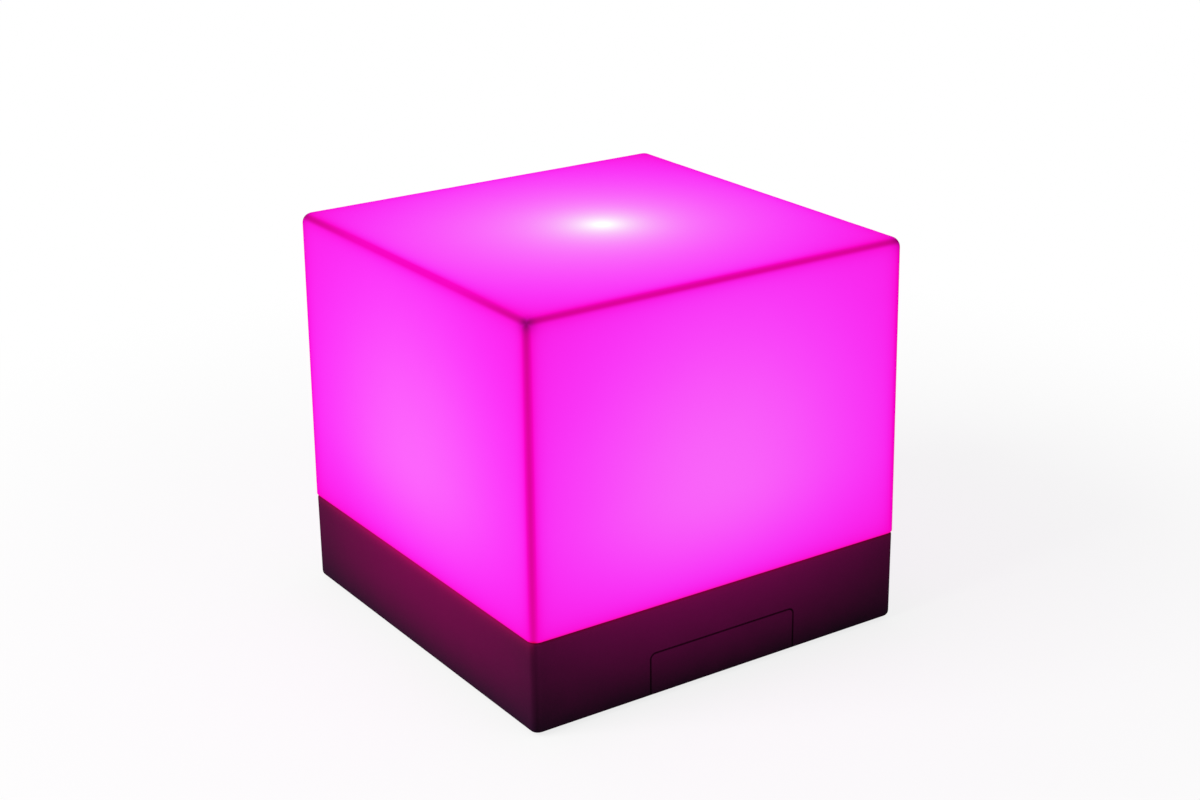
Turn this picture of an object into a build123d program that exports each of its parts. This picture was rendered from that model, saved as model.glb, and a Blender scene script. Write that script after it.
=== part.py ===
from build123d import *
import os
from math import radians, tan

# A battery-lit cube light: an opal shade that presses down a little on a low dark base.
# Millimetres, Z up. The origin is the middle of the plane that the feet stand on.
# The front is -Y, where the battery door is. Left is -X.

# ---------------------------------------------------------------- driving sizes

# outside
CUBE_WIDTH = 150.0  # shade at its lower rim, along X and along Y
SHADE_HEIGHT = 106.5  # lower rim to top face
BASE_HEIGHT = 32.0  # underside to shoulder
EDGE_RADIUS = 3.5  # upright edges, and round the top
BASE_EDGE_RADIUS = 2.0  # round the underside
BASE_SETBACK = 0.25  # the base stands in from the shade's rim on each side
SHADE_DRAFT = 0.75  # the shade leans in this much on each side over its height
RIM_FILLET = 0.6  # both sides of the seam
LEAST_RADIUS = 0.5  # inside corners

# shade and its carrier
SHADE_WALL = 2.6
RIM_REBATE = 0.6  # seat cut into the wall for the carrier
CARRIER_HEIGHT = 8.0
CARRIER_WALL = 1.8
CARRIER_FLANGE = 7.0  # ring's width, seen from above
CARRIER_THICKNESS = 2.0
CORNER_PAD = 8.0  # radius of the pads that carry the posts
LIP_HEIGHT = 2.5  # upstand that closes the view through the seam
LIP_CLEARANCE = 0.35

# press guide, one set in each corner
PRESS_TRAVEL = 0.35
PRESS_SPARE = 0.15  # room left at the seam when the shade is down
POST_MARGIN = 1.8  # spring cup to the deck's edge
POST_RADIUS = 2.5
GUIDE_CLEARANCE = 0.05
SPRING_WIRE = 0.35  # wire radius
SPRING_TURNS = 7
SPRING_CLEARANCE = 0.5
CUP_DEPTH = 14.0
CUP_WALL = 1.2
CUP_FLOOR = 2.0
WASHER_RADIUS = 4.2
WASHER_THICKNESS = 0.8
CARRIER_SCREW_LENGTH = 9.0

# base and deck
BASE_WALL = 3.2
DECK_DROP = 1.0  # deck's top below the shoulder
DECK_THICKNESS = 2.0
DECK_CLEARANCE = 0.35
RIB_DEPTH = 3.0
RIB_THICKNESS = 2.0
RIB_OFFSET = 42.0  # ribs this far from the middle of each wall
PILLAR_INSET = 10.0  # deck screws in from the guide posts, along X and along Y
PILLAR_RADIUS = 4.5
BOSS_HEIGHT = 11.0  # base bosses, above the underside
BOSS_WEB = 2.0
BOSS_COUNTERBORE = 3.2
DECK_SCREW_LENGTH = 14.0

# feet
FOOT_RADIUS = 6.0
FOOT_PROJECTION = 1.0
FOOT_RECESS = 1.0
FOOT_FIT = 0.15

# screws
SCREW_CLEARANCE = 0.2
SCREW_RADIUS = 1.4
SCREW_HEAD = 2.7
SCREW_HEAD_HEIGHT = 2.0
SMALL_SCREW_RADIUS = 0.9
SMALL_SCREW_HEAD = 1.8
SMALL_SCREW_HEAD_HEIGHT = 1.3
SMALL_SCREW_LENGTH = 5.0

# battery cells, three of size AA side by side
CELL_RADIUS = 7.25
CELL_LENGTH = 50.5  # with the terminal
CELL_TERMINAL_RADIUS = 2.75
CELL_TERMINAL_HEIGHT = 1.3
CELL_EDGE = 0.8
CELL_TERMINAL_EDGE = 0.3
CELL_COUNT = 3
CELL_GAP = 1.5  # between two cells
CELL_CLEARANCE = 0.3

# battery box and contacts
BOX_WALL = 1.8
BOX_EDGE_RADIUS = 2.0
BOX_FLANGE = 3.5  # past the door's grooves
BOX_FLANGE_THICKNESS = 1.6
BOX_FRONT_GAP = 0.3
EAR_RADIUS = 3.2
EAR_HEIGHT = 5.0  # base bosses under the ears, above the floor
EAR_OFFSETS = (16.0, -16.0)  # along Y from the middle of the box
CONTACT_PLATE = 0.4
CONTACT_WIDTH = 11.0
CONTACT_CORNER = 1.2
CONTACT_MARGIN = 1.0  # plate inside the trough, above and below
CONTACT_SPRING_HEIGHT = 5.0
CONTACT_SPRING_TURNS = 4
CONTACT_SPRING_BASE = 4.2
CONTACT_SPRING_TIP = 2.6
CONTACT_WIRE = 0.35  # wire radius
CONTACT_SPRING_STEPS = 16  # points that shape each turn
TAB_WIDTH = 3.0
TAB_RISE = 3.0  # tab above the box's roof

# battery door
DOOR_MARGIN = 5.95  # door's edge past the troughs on each side
DOOR_FACE_HEIGHT = 15.6
DOOR_CORNER = 1.8
DOOR_GAP = 0.35
DOOR_PANEL = 2.1
DOOR_CLEARANCE = 0.3
RAIL_LEDGE = 1.0
RAIL_FIT = 0.1
RAIL_SIDE_FIT = 0.2
TONGUE_WIDTH = 2.2
TONGUE_INSET = 1.0
DOOR_OVERLAP = 3.0  # panel past the box's inner end
GRIP_LENGTH = 16.0
GRIP_DEPTH = 0.5
GRIP_WIDTH = 1.2
GRIP_PITCH = 2.8
GRIP_COUNT = 4
GRIP_OFFSET = 6.0  # first groove behind the door's face

# lamps
LED_BOARD_RADIUS = 20.0
LED_BOARD_THICKNESS = 1.2
LED_COUNT = 6
LED_RING_RADIUS = 9.5
LED_SIZE = 5.0
LED_HEIGHT = 1.6
LED_LENS_RADIUS = 2.0
LED_LENS_DEPTH = 0.4
LED_CORNER = 0.6
LED_SCREW_INSET = 3.0
LED_SCREW_ANGLES = (205.0, 335.0)

# control board
BOARD_WIDTH = 52.0
BOARD_DEPTH = 40.0
BOARD_THICKNESS = 1.6
BOARD_CORNER = 1.5
BOARD_DROP = 5.4  # deck's underside to the board's top
BOARD_SCREW_INSET = 4.0
BOARD_PILLAR = 2.6
CHIP_SIZE = (8.7, 3.9, 1.5)
CHIP_OFFSET = (8.0, 4.0)  # from the board's middle
CHIP_LEGS = 7
CHIP_LEG_PITCH = 1.27
CHIP_LEG_WIDTH = 0.5
CHIP_LEG_REACH = 1.1
CHIP_LEG_ROOT = 0.2  # leg inside the body
CHIP_LEG_HEIGHT = 0.45
CHIP_EDGE = 0.2
TRANSISTOR_SIZE = (2.9, 1.6, 1.1)
TRANSISTOR_COUNT = 3
TRANSISTOR_PITCH = 5.0
TRANSISTOR_OFFSET = (-17.0, -6.0)
RESISTOR_SIZE = (2.0, 1.25, 0.6)
RESISTOR_COUNT = 6
RESISTOR_PITCH = 3.0
RESISTOR_OFFSET = (12.0, -3.5)
SMALL_PART_EDGE = 0.1
CAPACITOR_RADIUS = 2.5
CAPACITOR_HEIGHT = 4.8
CAPACITOR_EDGE = 0.4
CAPACITOR_GROOVE = 0.3
CAPACITOR_GROOVE_HEIGHT = 1.2
CAPACITOR_OFFSET = (-14.0, 9.0)

# click switch and the finger that works it
CLICK_INSET = 6.0  # in from the board's rear edge
CLICK_BODY = 6.2
CLICK_BODY_HEIGHT = 3.5
CLICK_PROUD = 1.5  # plunger above the case
CLICK_CORNER = 0.5
CLICK_PLUNGER_RADIUS = 1.75
CLICK_PLUNGER_FIT = 0.05
CLICK_CAVITY = 1.6
CLICK_LEG = 0.7
CLICK_LEG_REACH = 1.0
CLICK_LEG_THICKNESS = 0.4
FINGER_RADIUS = 2.5
FINGER_CLEARANCE = 0.8
ARM_WIDTH = 8.0

# power switch on the base floor
SWITCH_LENGTH = 14.0
SWITCH_WIDTH = 7.0
SWITCH_HEIGHT = 6.0
SWITCH_TRAVEL = 3.0
SWITCH_FIT = 0.3
SLIDER_LENGTH = 6.0
SLIDER_WIDTH = 4.4
SLIDER_THICKNESS = 1.6
KNOB_LENGTH = 3.6
KNOB_WIDTH = 2.6
KNOB_RECESS = 0.3  # knob's end inside the underside
KNOB_GROOVE = 0.4
SWITCH_EAR_LENGTH = 4.6
SWITCH_EAR_THICKNESS = 0.8
SWITCH_EAR_HEIGHT = 3.0  # above the floor
SWITCH_BOSS_RADIUS = 2.2
SWITCH_SCREW_LENGTH = 2.6
PIN_SIZE = 0.8
PIN_LENGTH = 2.2
PIN_PITCH = 4.0
POCKET_LENGTH = 17.0
POCKET_WIDTH = 9.0
POCKET_DEPTH = 1.2
POCKET_CORNER = 1.5

# wires
WIRE_RADIUS = 0.7
WIRE_BEND = 3.6
WIRE_RUN = 8.6  # room for a bend at each end of a run
LAMP_WIRE_COUNT = 4
LAMP_WIRE_PITCH = 2.6
LAMP_WIRE_ARCH = 6.0  # top of the arch above the deck
LAMP_WIRE_INSET = 3.0  # from the lamp board's edge
BOARD_WIRE_INSET = 3.6  # from the control board's edge
WIRE_SLOT_CLEARANCE = 0.7
LEAD_SAG = 6.5  # negative lead's dip behind the battery box

# shares of another size
HEAD_ROUND = 0.45  # of a screw head's height
POINT_CHAMFER = 0.4  # of a screw's radius
CROSS_LENGTH = 1.2  # of a screw head's radius
CROSS_WIDTH = 0.25  # of a screw head's radius
FOOT_ROUND = 0.4  # of a foot's height below the base
BEND_SHARE = 0.45  # of the shorter run beside a wire's bend

# ---------------------------------------------------------------- worked-out places

HALF_RIM = CUBE_WIDTH / 2
HALF_BASE = HALF_RIM - BASE_SETBACK
HALF_INSIDE = HALF_BASE - BASE_WALL
HALF_SEAT = HALF_RIM - SHADE_WALL + RIM_REBATE
HALF_LIP = HALF_SEAT - LIP_CLEARANCE
HALF_DECK = HALF_INSIDE - DECK_CLEARANCE

SEAM_GAP = PRESS_TRAVEL + PRESS_SPARE
BASE_FLOOR = DOOR_PANEL + DOOR_CLEARANCE
Z_BASE = FOOT_PROJECTION
Z_FLOOR = Z_BASE + BASE_FLOOR
Z_SHOULDER = Z_BASE + BASE_HEIGHT
Z_RIM = Z_SHOULDER + SEAM_GAP
Z_TOP = Z_RIM + SHADE_HEIGHT
Z_LIP = Z_SHOULDER + LIP_HEIGHT
Z_CARRIER = Z_LIP + SEAM_GAP
Z_SEAT = Z_CARRIER + CARRIER_HEIGHT
Z_DECK_TOP = Z_SHOULDER - DECK_DROP
Z_DECK = Z_DECK_TOP - DECK_THICKNESS
Z_CUP = Z_DECK_TOP - CUP_DEPTH
Z_CUP_FLOOR = Z_CUP + CUP_FLOOR
Z_BOSS = Z_BASE + BOSS_HEIGHT
Z_WEB = Z_BOSS - BOSS_WEB

SPRING_RADIUS = POST_RADIUS + SPRING_CLEARANCE + SPRING_WIRE
CUP_RADIUS = SPRING_RADIUS + SPRING_WIRE + SPRING_CLEARANCE
POST = HALF_DECK - CUP_RADIUS - CUP_WALL - POST_MARGIN
PILLAR = POST - PILLAR_INSET

Z_CELL = Z_BASE + DOOR_PANEL + CELL_CLEARANCE + CELL_RADIUS
TROUGH_RADIUS = CELL_RADIUS + CELL_CLEARANCE
Z_ROOF = Z_CELL + TROUGH_RADIUS
Z_BOX = Z_ROOF + BOX_WALL
CELL_PITCH = 2 * CELL_RADIUS + CELL_GAP
HALF_TROUGHS = (CELL_COUNT - 1) / 2 * CELL_PITCH + TROUGH_RADIUS
HALF_BOX = HALF_TROUGHS + BOX_WALL
Y_BOX_FRONT = -HALF_INSIDE + BOX_FRONT_GAP
Y_FRONT_END = Y_BOX_FRONT + BOX_WALL
Y_REAR_END = Y_FRONT_END + CELL_LENGTH + CONTACT_SPRING_HEIGHT + 2 * CONTACT_PLATE
Y_BOX_REAR = Y_REAR_END + BOX_WALL
Y_DOOR_REAR = Y_REAR_END + DOOR_OVERLAP
BOX_Y = (Y_BOX_FRONT + Y_BOX_REAR) / 2
Z_TAB = Z_BOX + TAB_RISE
HALF_PLATE = CELL_RADIUS - CONTACT_MARGIN
FRONT_POCKET = (Y_FRONT_END, Y_FRONT_END + CONTACT_PLATE + CELL_CLEARANCE)
REAR_POCKET = (Y_REAR_END - CONTACT_PLATE - CELL_CLEARANCE, Y_REAR_END)
CELL_XS = [(i - (CELL_COUNT - 1) / 2) * CELL_PITCH for i in range(CELL_COUNT)]

HALF_DOOR = HALF_TROUGHS + DOOR_MARGIN
HALF_TONGUE = HALF_DOOR - TONGUE_INSET
HALF_PANEL = HALF_TONGUE - TONGUE_WIDTH
DOOR_LIP = BASE_WALL - DOOR_CLEARANCE

HALF_FLANGE = HALF_TONGUE + RAIL_SIDE_FIT + BOX_FLANGE
EAR_X = HALF_FLANGE + EAR_RADIUS + SCREW_CLEARANCE
Z_EAR = Z_FLOOR + EAR_HEIGHT

Z_LED_BOARD = Z_DECK_TOP + LED_BOARD_THICKNESS
Z_BOARD_TOP = Z_DECK - BOARD_DROP
Z_BOARD = Z_BOARD_TOP - BOARD_THICKNESS
BOARD_Y = LED_BOARD_RADIUS + BOARD_DEPTH / 2  # the lamp board's edge is above its front edge
CLICK_Y = BOARD_Y + BOARD_DEPTH / 2 - CLICK_INSET
Z_CLICK_BODY = Z_BOARD_TOP + CLICK_BODY_HEIGHT
Z_CLICK_TOP = Z_CLICK_BODY + CLICK_PROUD

SWITCH_Y = BOARD_Y
Z_SWITCH_EAR = Z_FLOOR + SWITCH_EAR_HEIGHT
Z_SWITCH_TOP = Z_FLOOR + SWITCH_HEIGHT
Z_PIN = Z_SWITCH_TOP + PIN_LENGTH
SWITCH_EAR_X = SWITCH_LENGTH / 2 + SWITCH_EAR_LENGTH / 2

LAMP_WIRE_Y = BOARD_Y - BOARD_DEPTH / 2 + BOARD_WIRE_INSET
Z_LEAD = Z_TAB - WIRE_RADIUS - CELL_CLEARANCE
Z_DIP = Z_LEAD - LEAD_SAG
Z_UNDER_BOARD = (Z_PIN + Z_BOARD) / 2

CORNERS = [(x, y) for x in (-1, 1) for y in (-1, 1)]
POSTS = [(x * POST, y * POST) for x, y in CORNERS]
PILLARS = [(x * PILLAR, y * PILLAR) for x, y in CORNERS]
BOARD_SCREWS = [
    (
        x * (BOARD_WIDTH / 2 - BOARD_SCREW_INSET),
        BOARD_Y + y * (BOARD_DEPTH / 2 - BOARD_SCREW_INSET),
    )
    for x, y in CORNERS
]
EARS = [(side * EAR_X, BOX_Y + offset) for side in (-1, 1) for offset in EAR_OFFSETS]
LED_SCREW_SPOKE = Vector(LED_BOARD_RADIUS - LED_SCREW_INSET, 0)
LED_SCREWS = [
    (spot.X, spot.Y)
    for spot in (LED_SCREW_SPOKE.rotate(Axis.Z, angle) for angle in LED_SCREW_ANGLES)
]

# every other cell has its terminal at the front, the first one at the rear
FACES_FRONT = [i % 2 == 1 for i in range(CELL_COUNT)]
LAST_TAB_AT_FRONT = not FACES_FRONT[-1]
LAST_POCKET = FRONT_POCKET if LAST_TAB_AT_FRONT else REAR_POCKET

ON_FLOOR = (Align.CENTER, Align.CENTER, Align.MIN)


# ---------------------------------------------------------------- small helpers


def block(x, y, z):
    """Box between three pairs of limits."""
    (x0, x1), (y0, y1), (z0, z1) = x, y, z
    box = Box(x1 - x0, y1 - y0, z1 - z0)
    return Pos((x0 + x1) / 2, (y0 + y1) / 2, (z0 + z1) / 2) * box


def rod(x, y, bottom, top, radius):
    """Upright round bar."""
    return Pos(x, y, bottom) * Cylinder(radius, top - bottom, align=ON_FLOOR)


def square_bar(half, bottom, top, radius):
    """Square block about the Z axis with rounded upright edges."""
    outline = RectangleRounded(2 * half, 2 * half, radius)
    return Pos(0, 0, bottom) * extrude(outline, top - bottom)


def square_taper(half, top_half, bottom, top, radius):
    """Square block that leans in evenly from its foot to its head."""
    foot = Pos(0, 0, bottom) * RectangleRounded(2 * half, 2 * half, radius)
    head = Pos(0, 0, top) * RectangleRounded(2 * top_half, 2 * top_half, radius)
    return loft([foot, head], ruled=True)


def inner_radius(wall):
    """Corner radius inside a wall that follows the outer corner."""
    return max(EDGE_RADIUS - wall, LEAST_RADIUS)


def one_node(pieces):
    """Separate like pieces kept under one name."""
    return Compound([piece.solid() for piece in pieces])


def pan_screw(head_radius, head_height, radius, length):
    """Pan-head screw, point up, with the underside of its head at the origin."""
    head = Pos(0, 0, -head_height) * Cylinder(head_radius, head_height, align=ON_FLOOR)
    head = fillet(head.edges().group_by(Axis.Z)[0], HEAD_ROUND * head_height)
    shank = Cylinder(radius, length, align=ON_FLOOR)
    shank = chamfer(shank.edges().group_by(Axis.Z)[-1], POINT_CHAMFER * radius)
    slot = Box(CROSS_LENGTH * head_radius, CROSS_WIDTH * head_radius, head_height)
    cross = slot + Rot(0, 0, 90) * slot
    return head + shank - Pos(0, 0, -head_height) * cross


def wire(points):
    """Insulated wire along straight runs joined by bends no larger than the runs allow."""
    spots = [Vector(*point) for point in points]
    runs = [end - start for start, end in zip(spots, spots[1:])]
    bends = []
    for before, after in zip(runs, runs[1:]):
        room = BEND_SHARE * min(before.length, after.length)
        half_turn = radians(before.get_angle(after)) / 2
        bends.append(min(WIRE_BEND, room / tan(half_turn)))
    path = FilletPolyline(*spots, radius=bends)
    section = Plane(path @ 0, z_dir=path % 0) * Circle(WIRE_RADIUS)
    return sweep(section, path)


def coil(path, wire_radius):
    """Coil spring along its wire's centre line, raised to stand on the origin."""
    section = Plane(path @ 0, z_dir=path % 0) * Circle(wire_radius)
    return Pos(0, 0, wire_radius) * sweep(section, path, is_frenet=True)


def cone_line(foot_radius, head_radius, rise, turns, steps):
    """Smooth centre line of a conical spring, with this many points to each turn."""
    spots = []
    for i in range(turns * steps + 1):
        share = i / (turns * steps)
        radius = foot_radius + (head_radius - foot_radius) * share
        spots.append(Vector(radius, 0, rise * share).rotate(Axis.Z, 360 * turns * share))
    return Spline(*spots)


# ---------------------------------------------------------------- shade and carrier


def diffuser_shade():
    """Five opal walls in one moulding, open below, with a seat inside the rim."""
    half_top = HALF_RIM - SHADE_DRAFT
    outer = square_taper(HALF_RIM, half_top, Z_RIM, Z_TOP, EDGE_RADIUS)
    outer = fillet(outer.faces().sort_by(Axis.Z)[-1].edges(), EDGE_RADIUS)
    outer = fillet(outer.faces().sort_by(Axis.Z)[0].edges(), RIM_FILLET)
    hollow_half = HALF_RIM - SHADE_WALL
    roof = Z_TOP - SHADE_WALL
    lean = SHADE_DRAFT * (roof - Z_RIM) / SHADE_HEIGHT
    radius = inner_radius(SHADE_WALL)
    hollow = square_taper(hollow_half, hollow_half - lean, Z_RIM, roof, radius)
    seat = square_bar(HALF_SEAT, Z_RIM, Z_SEAT, inner_radius(SHADE_WALL - RIM_REBATE))
    return outer - hollow - seat


def shade_carrier():
    """Ring inside the shade's rim with corner pads, guide posts and the switch finger."""
    radius = inner_radius(SHADE_WALL - RIM_REBATE)
    half_inner = HALF_SEAT - CARRIER_WALL
    upper = Z_CARRIER + CARRIER_THICKNESS
    body = square_bar(HALF_SEAT, Z_CARRIER, Z_SEAT, radius)
    body -= square_bar(half_inner, upper, Z_SEAT, inner_radius(SHADE_WALL))
    window = square_bar(HALF_SEAT - CARRIER_FLANGE, Z_CARRIER, upper, CORNER_PAD)
    for x, y in POSTS:
        window -= rod(x, y, Z_CARRIER, upper, CORNER_PAD)
    body -= window
    arm_x = (-ARM_WIDTH / 2, ARM_WIDTH / 2)
    body += block(arm_x, (CLICK_Y, half_inner), (Z_CARRIER, upper))
    body += rod(0, CLICK_Y, Z_CARRIER, upper, ARM_WIDTH / 2)
    body += rod(0, CLICK_Y, Z_CLICK_TOP, Z_CARRIER, FINGER_RADIUS)
    for x, y in POSTS:
        body += rod(x, y, Z_CUP, Z_CARRIER, POST_RADIUS)
        body -= rod(x, y, Z_CUP, Z_CUP + CARRIER_SCREW_LENGTH, SCREW_RADIUS)
    return body


def carrier_washers():
    """Washer on the foot of each guide post that stops the shade at rest."""
    hole = SCREW_RADIUS + SCREW_CLEARANCE
    bottom = Z_CUP - WASHER_THICKNESS
    return one_node(
        rod(x, y, bottom, Z_CUP, WASHER_RADIUS) - rod(x, y, bottom, Z_CUP, hole)
        for x, y in POSTS
    )


def carrier_screws():
    """Screw that holds each washer."""
    length = CARRIER_SCREW_LENGTH + WASHER_THICKNESS
    screw = pan_screw(SCREW_HEAD, SCREW_HEAD_HEIGHT, SCREW_RADIUS, length)
    return one_node(Pos(x, y, Z_CUP - WASHER_THICKNESS) * screw for x, y in POSTS)


def return_springs():
    """Coil round each guide post, from the cup's floor up to the carrier."""
    rise = Z_CARRIER - Z_CUP_FLOOR - 2 * SPRING_WIRE
    spring = coil(Helix(rise / SPRING_TURNS, rise, SPRING_RADIUS), SPRING_WIRE)
    return one_node(Pos(x, y, Z_CUP_FLOOR) * spring for x, y in POSTS)


# ---------------------------------------------------------------- base


def base_block():
    """The base's outer form, before anything is cut from it."""
    body = square_bar(HALF_BASE, Z_BASE, Z_SHOULDER, EDGE_RADIUS - BASE_SETBACK)
    body = fillet(body.faces().sort_by(Axis.Z)[0].edges(), BASE_EDGE_RADIUS)
    return fillet(body.faces().sort_by(Axis.Z)[-1].edges(), RIM_FILLET)


def door_front(margin, depth):
    """Block behind the door's outline in the front face, grown by a margin all round."""
    half = HALF_DOOR + margin
    top = Z_BASE + DOOR_FACE_HEIGHT + margin
    bar = block((-half, half), (-HALF_RIM, -HALF_BASE + depth), (0, top))
    return fillet(bar.edges().filter_by(Axis.Y).group_by(Axis.Z)[-1], DOOR_CORNER + margin)


def base_housing():
    """Square tray with the ribs and bosses that carry everything inside it."""
    body = base_block()
    radius = inner_radius(BASE_WALL)
    body += square_bar(HALF_LIP, Z_DECK, Z_LIP, inner_radius(HALF_RIM - HALF_LIP))
    body -= square_bar(HALF_INSIDE, Z_FLOOR, Z_LIP, radius)
    for side in range(4):
        for offset in (-RIB_OFFSET, RIB_OFFSET):
            rib = block(
                (offset - RIB_THICKNESS / 2, offset + RIB_THICKNESS / 2),
                (-HALF_INSIDE, -HALF_INSIDE + RIB_DEPTH),
                (Z_FLOOR, Z_DECK),
            )
            body += Rot(0, 0, 90 * side) * rib
    for x, y in PILLARS:
        body += rod(x, y, Z_FLOOR, Z_BOSS, PILLAR_RADIUS)
        body -= rod(x, y, Z_BASE, Z_BASE + FOOT_RECESS, FOOT_RADIUS + FOOT_FIT)
        body -= rod(x, y, Z_BASE, Z_WEB, BOSS_COUNTERBORE)
        body -= rod(x, y, Z_WEB, Z_BOSS, SCREW_RADIUS + SCREW_CLEARANCE)
    for x, y in EARS:
        body += rod(x, y, Z_FLOOR, Z_EAR, EAR_RADIUS)
        body -= rod(x, y, Z_FLOOR, Z_EAR, SMALL_SCREW_RADIUS)
    return body - door_openings() - switch_openings() + switch_bosses()


def door_openings():
    """Front window and the stepped slot in the floor that guides the door."""
    window = door_front(DOOR_GAP, BASE_WALL)
    lower = HALF_PANEL + RAIL_SIDE_FIT
    upper = HALF_TONGUE + RAIL_SIDE_FIT
    y = (-HALF_INSIDE, Y_DOOR_REAR + DOOR_CLEARANCE)
    z_step = Z_BASE + RAIL_LEDGE
    slot = block((-lower, lower), y, (Z_BASE, z_step))
    return window + slot + block((-upper, upper), y, (z_step, Z_FLOOR))


def switch_openings():
    """Shallow pocket in the underside and the slot that the knob moves in."""
    half_slot = (KNOB_LENGTH + SWITCH_TRAVEL) / 2 + SWITCH_FIT
    half_width = KNOB_WIDTH / 2 + SWITCH_FIT
    outline = RectangleRounded(POCKET_LENGTH, POCKET_WIDTH, POCKET_CORNER)
    pocket = extrude(outline, POCKET_DEPTH)
    slot = block(
        (-half_slot, half_slot),
        (SWITCH_Y - half_width, SWITCH_Y + half_width),
        (Z_BASE, Z_FLOOR),
    )
    return Pos(0, SWITCH_Y, Z_BASE) * pocket + slot


def switch_bosses():
    """Two bosses that the power switch is screwed to."""
    bosses = [
        rod(x, SWITCH_Y, Z_FLOOR, Z_SWITCH_EAR, SWITCH_BOSS_RADIUS)
        - rod(x, SWITCH_Y, Z_FLOOR, Z_SWITCH_EAR, SMALL_SCREW_RADIUS)
        for x in (-SWITCH_EAR_X, SWITCH_EAR_X)
    ]
    return bosses[0] + bosses[1]


def reflector_deck():
    """White deck on the base's ribs: spring cups, pillars below, holes for finger and wires."""
    body = square_bar(HALF_DECK, Z_DECK, Z_DECK_TOP, inner_radius(BASE_WALL))
    for x, y in POSTS:
        body += rod(x, y, Z_CUP, Z_DECK, CUP_RADIUS + CUP_WALL)
        body -= rod(x, y, Z_CUP_FLOOR, Z_DECK_TOP, CUP_RADIUS)
        body -= rod(x, y, Z_CUP, Z_CUP_FLOOR, POST_RADIUS + GUIDE_CLEARANCE)
    for x, y in PILLARS:
        body += rod(x, y, Z_BOSS, Z_DECK, PILLAR_RADIUS)
        body -= rod(x, y, Z_BOSS, Z_WEB + DECK_SCREW_LENGTH, SCREW_RADIUS)
    for x, y in BOARD_SCREWS:
        body += rod(x, y, Z_BOARD_TOP, Z_DECK, BOARD_PILLAR)
        body -= rod(x, y, Z_BOARD_TOP, Z_BOARD + SMALL_SCREW_LENGTH, SMALL_SCREW_RADIUS)
    for x, y in LED_SCREWS:
        foot = Z_LED_BOARD - SMALL_SCREW_LENGTH
        body += rod(x, y, foot, Z_DECK, BOARD_PILLAR)
        body -= rod(x, y, foot, Z_DECK_TOP, SMALL_SCREW_RADIUS)
    body -= rod(0, CLICK_Y, Z_DECK, Z_DECK_TOP, FINGER_RADIUS + FINGER_CLEARANCE)
    slot_width = 2 * (WIRE_RADIUS + WIRE_SLOT_CLEARANCE)
    slot_length = (LAMP_WIRE_COUNT - 1) * LAMP_WIRE_PITCH + slot_width
    slot = SlotOverall(slot_length + slot_width / 2, slot_width)
    return body - Pos(0, LAMP_WIRE_Y, Z_DECK) * extrude(slot, DECK_THICKNESS)


def deck_screws():
    """Long screws from under the feet into the deck's pillars."""
    screw = pan_screw(SCREW_HEAD, SCREW_HEAD_HEIGHT, SCREW_RADIUS, DECK_SCREW_LENGTH)
    return one_node(Pos(x, y, Z_WEB) * screw for x, y in PILLARS)


def rubber_feet():
    """Round feet over the deck screws."""
    height = FOOT_PROJECTION + FOOT_RECESS
    foot = Cylinder(FOOT_RADIUS, height, align=ON_FLOOR)
    foot = fillet(foot.edges().group_by(Axis.Z)[0], FOOT_ROUND * FOOT_PROJECTION)
    return one_node(Pos(x, y, 0) * foot for x, y in PILLARS)


# ---------------------------------------------------------------- battery door


def battery_door():
    """Flush front face with a panel behind it that slides in the base's floor."""
    face = base_block() & door_front(0, DOOR_LIP)
    y = (-HALF_BASE + DOOR_LIP, Y_DOOR_REAR)
    z_step = Z_BASE + RAIL_LEDGE + RAIL_FIT
    panel = block((-HALF_PANEL, HALF_PANEL), y, (Z_BASE, z_step))
    panel += block((-HALF_TONGUE, HALF_TONGUE), y, (z_step, Z_BASE + DOOR_PANEL))
    for i in range(GRIP_COUNT):
        start = -HALF_BASE + GRIP_OFFSET + i * GRIP_PITCH
        panel -= block(
            (-GRIP_LENGTH / 2, GRIP_LENGTH / 2),
            (start, start + GRIP_WIDTH),
            (Z_BASE, Z_BASE + GRIP_DEPTH),
        )
    return face + panel


# ---------------------------------------------------------------- battery box, cells, contacts


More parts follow.
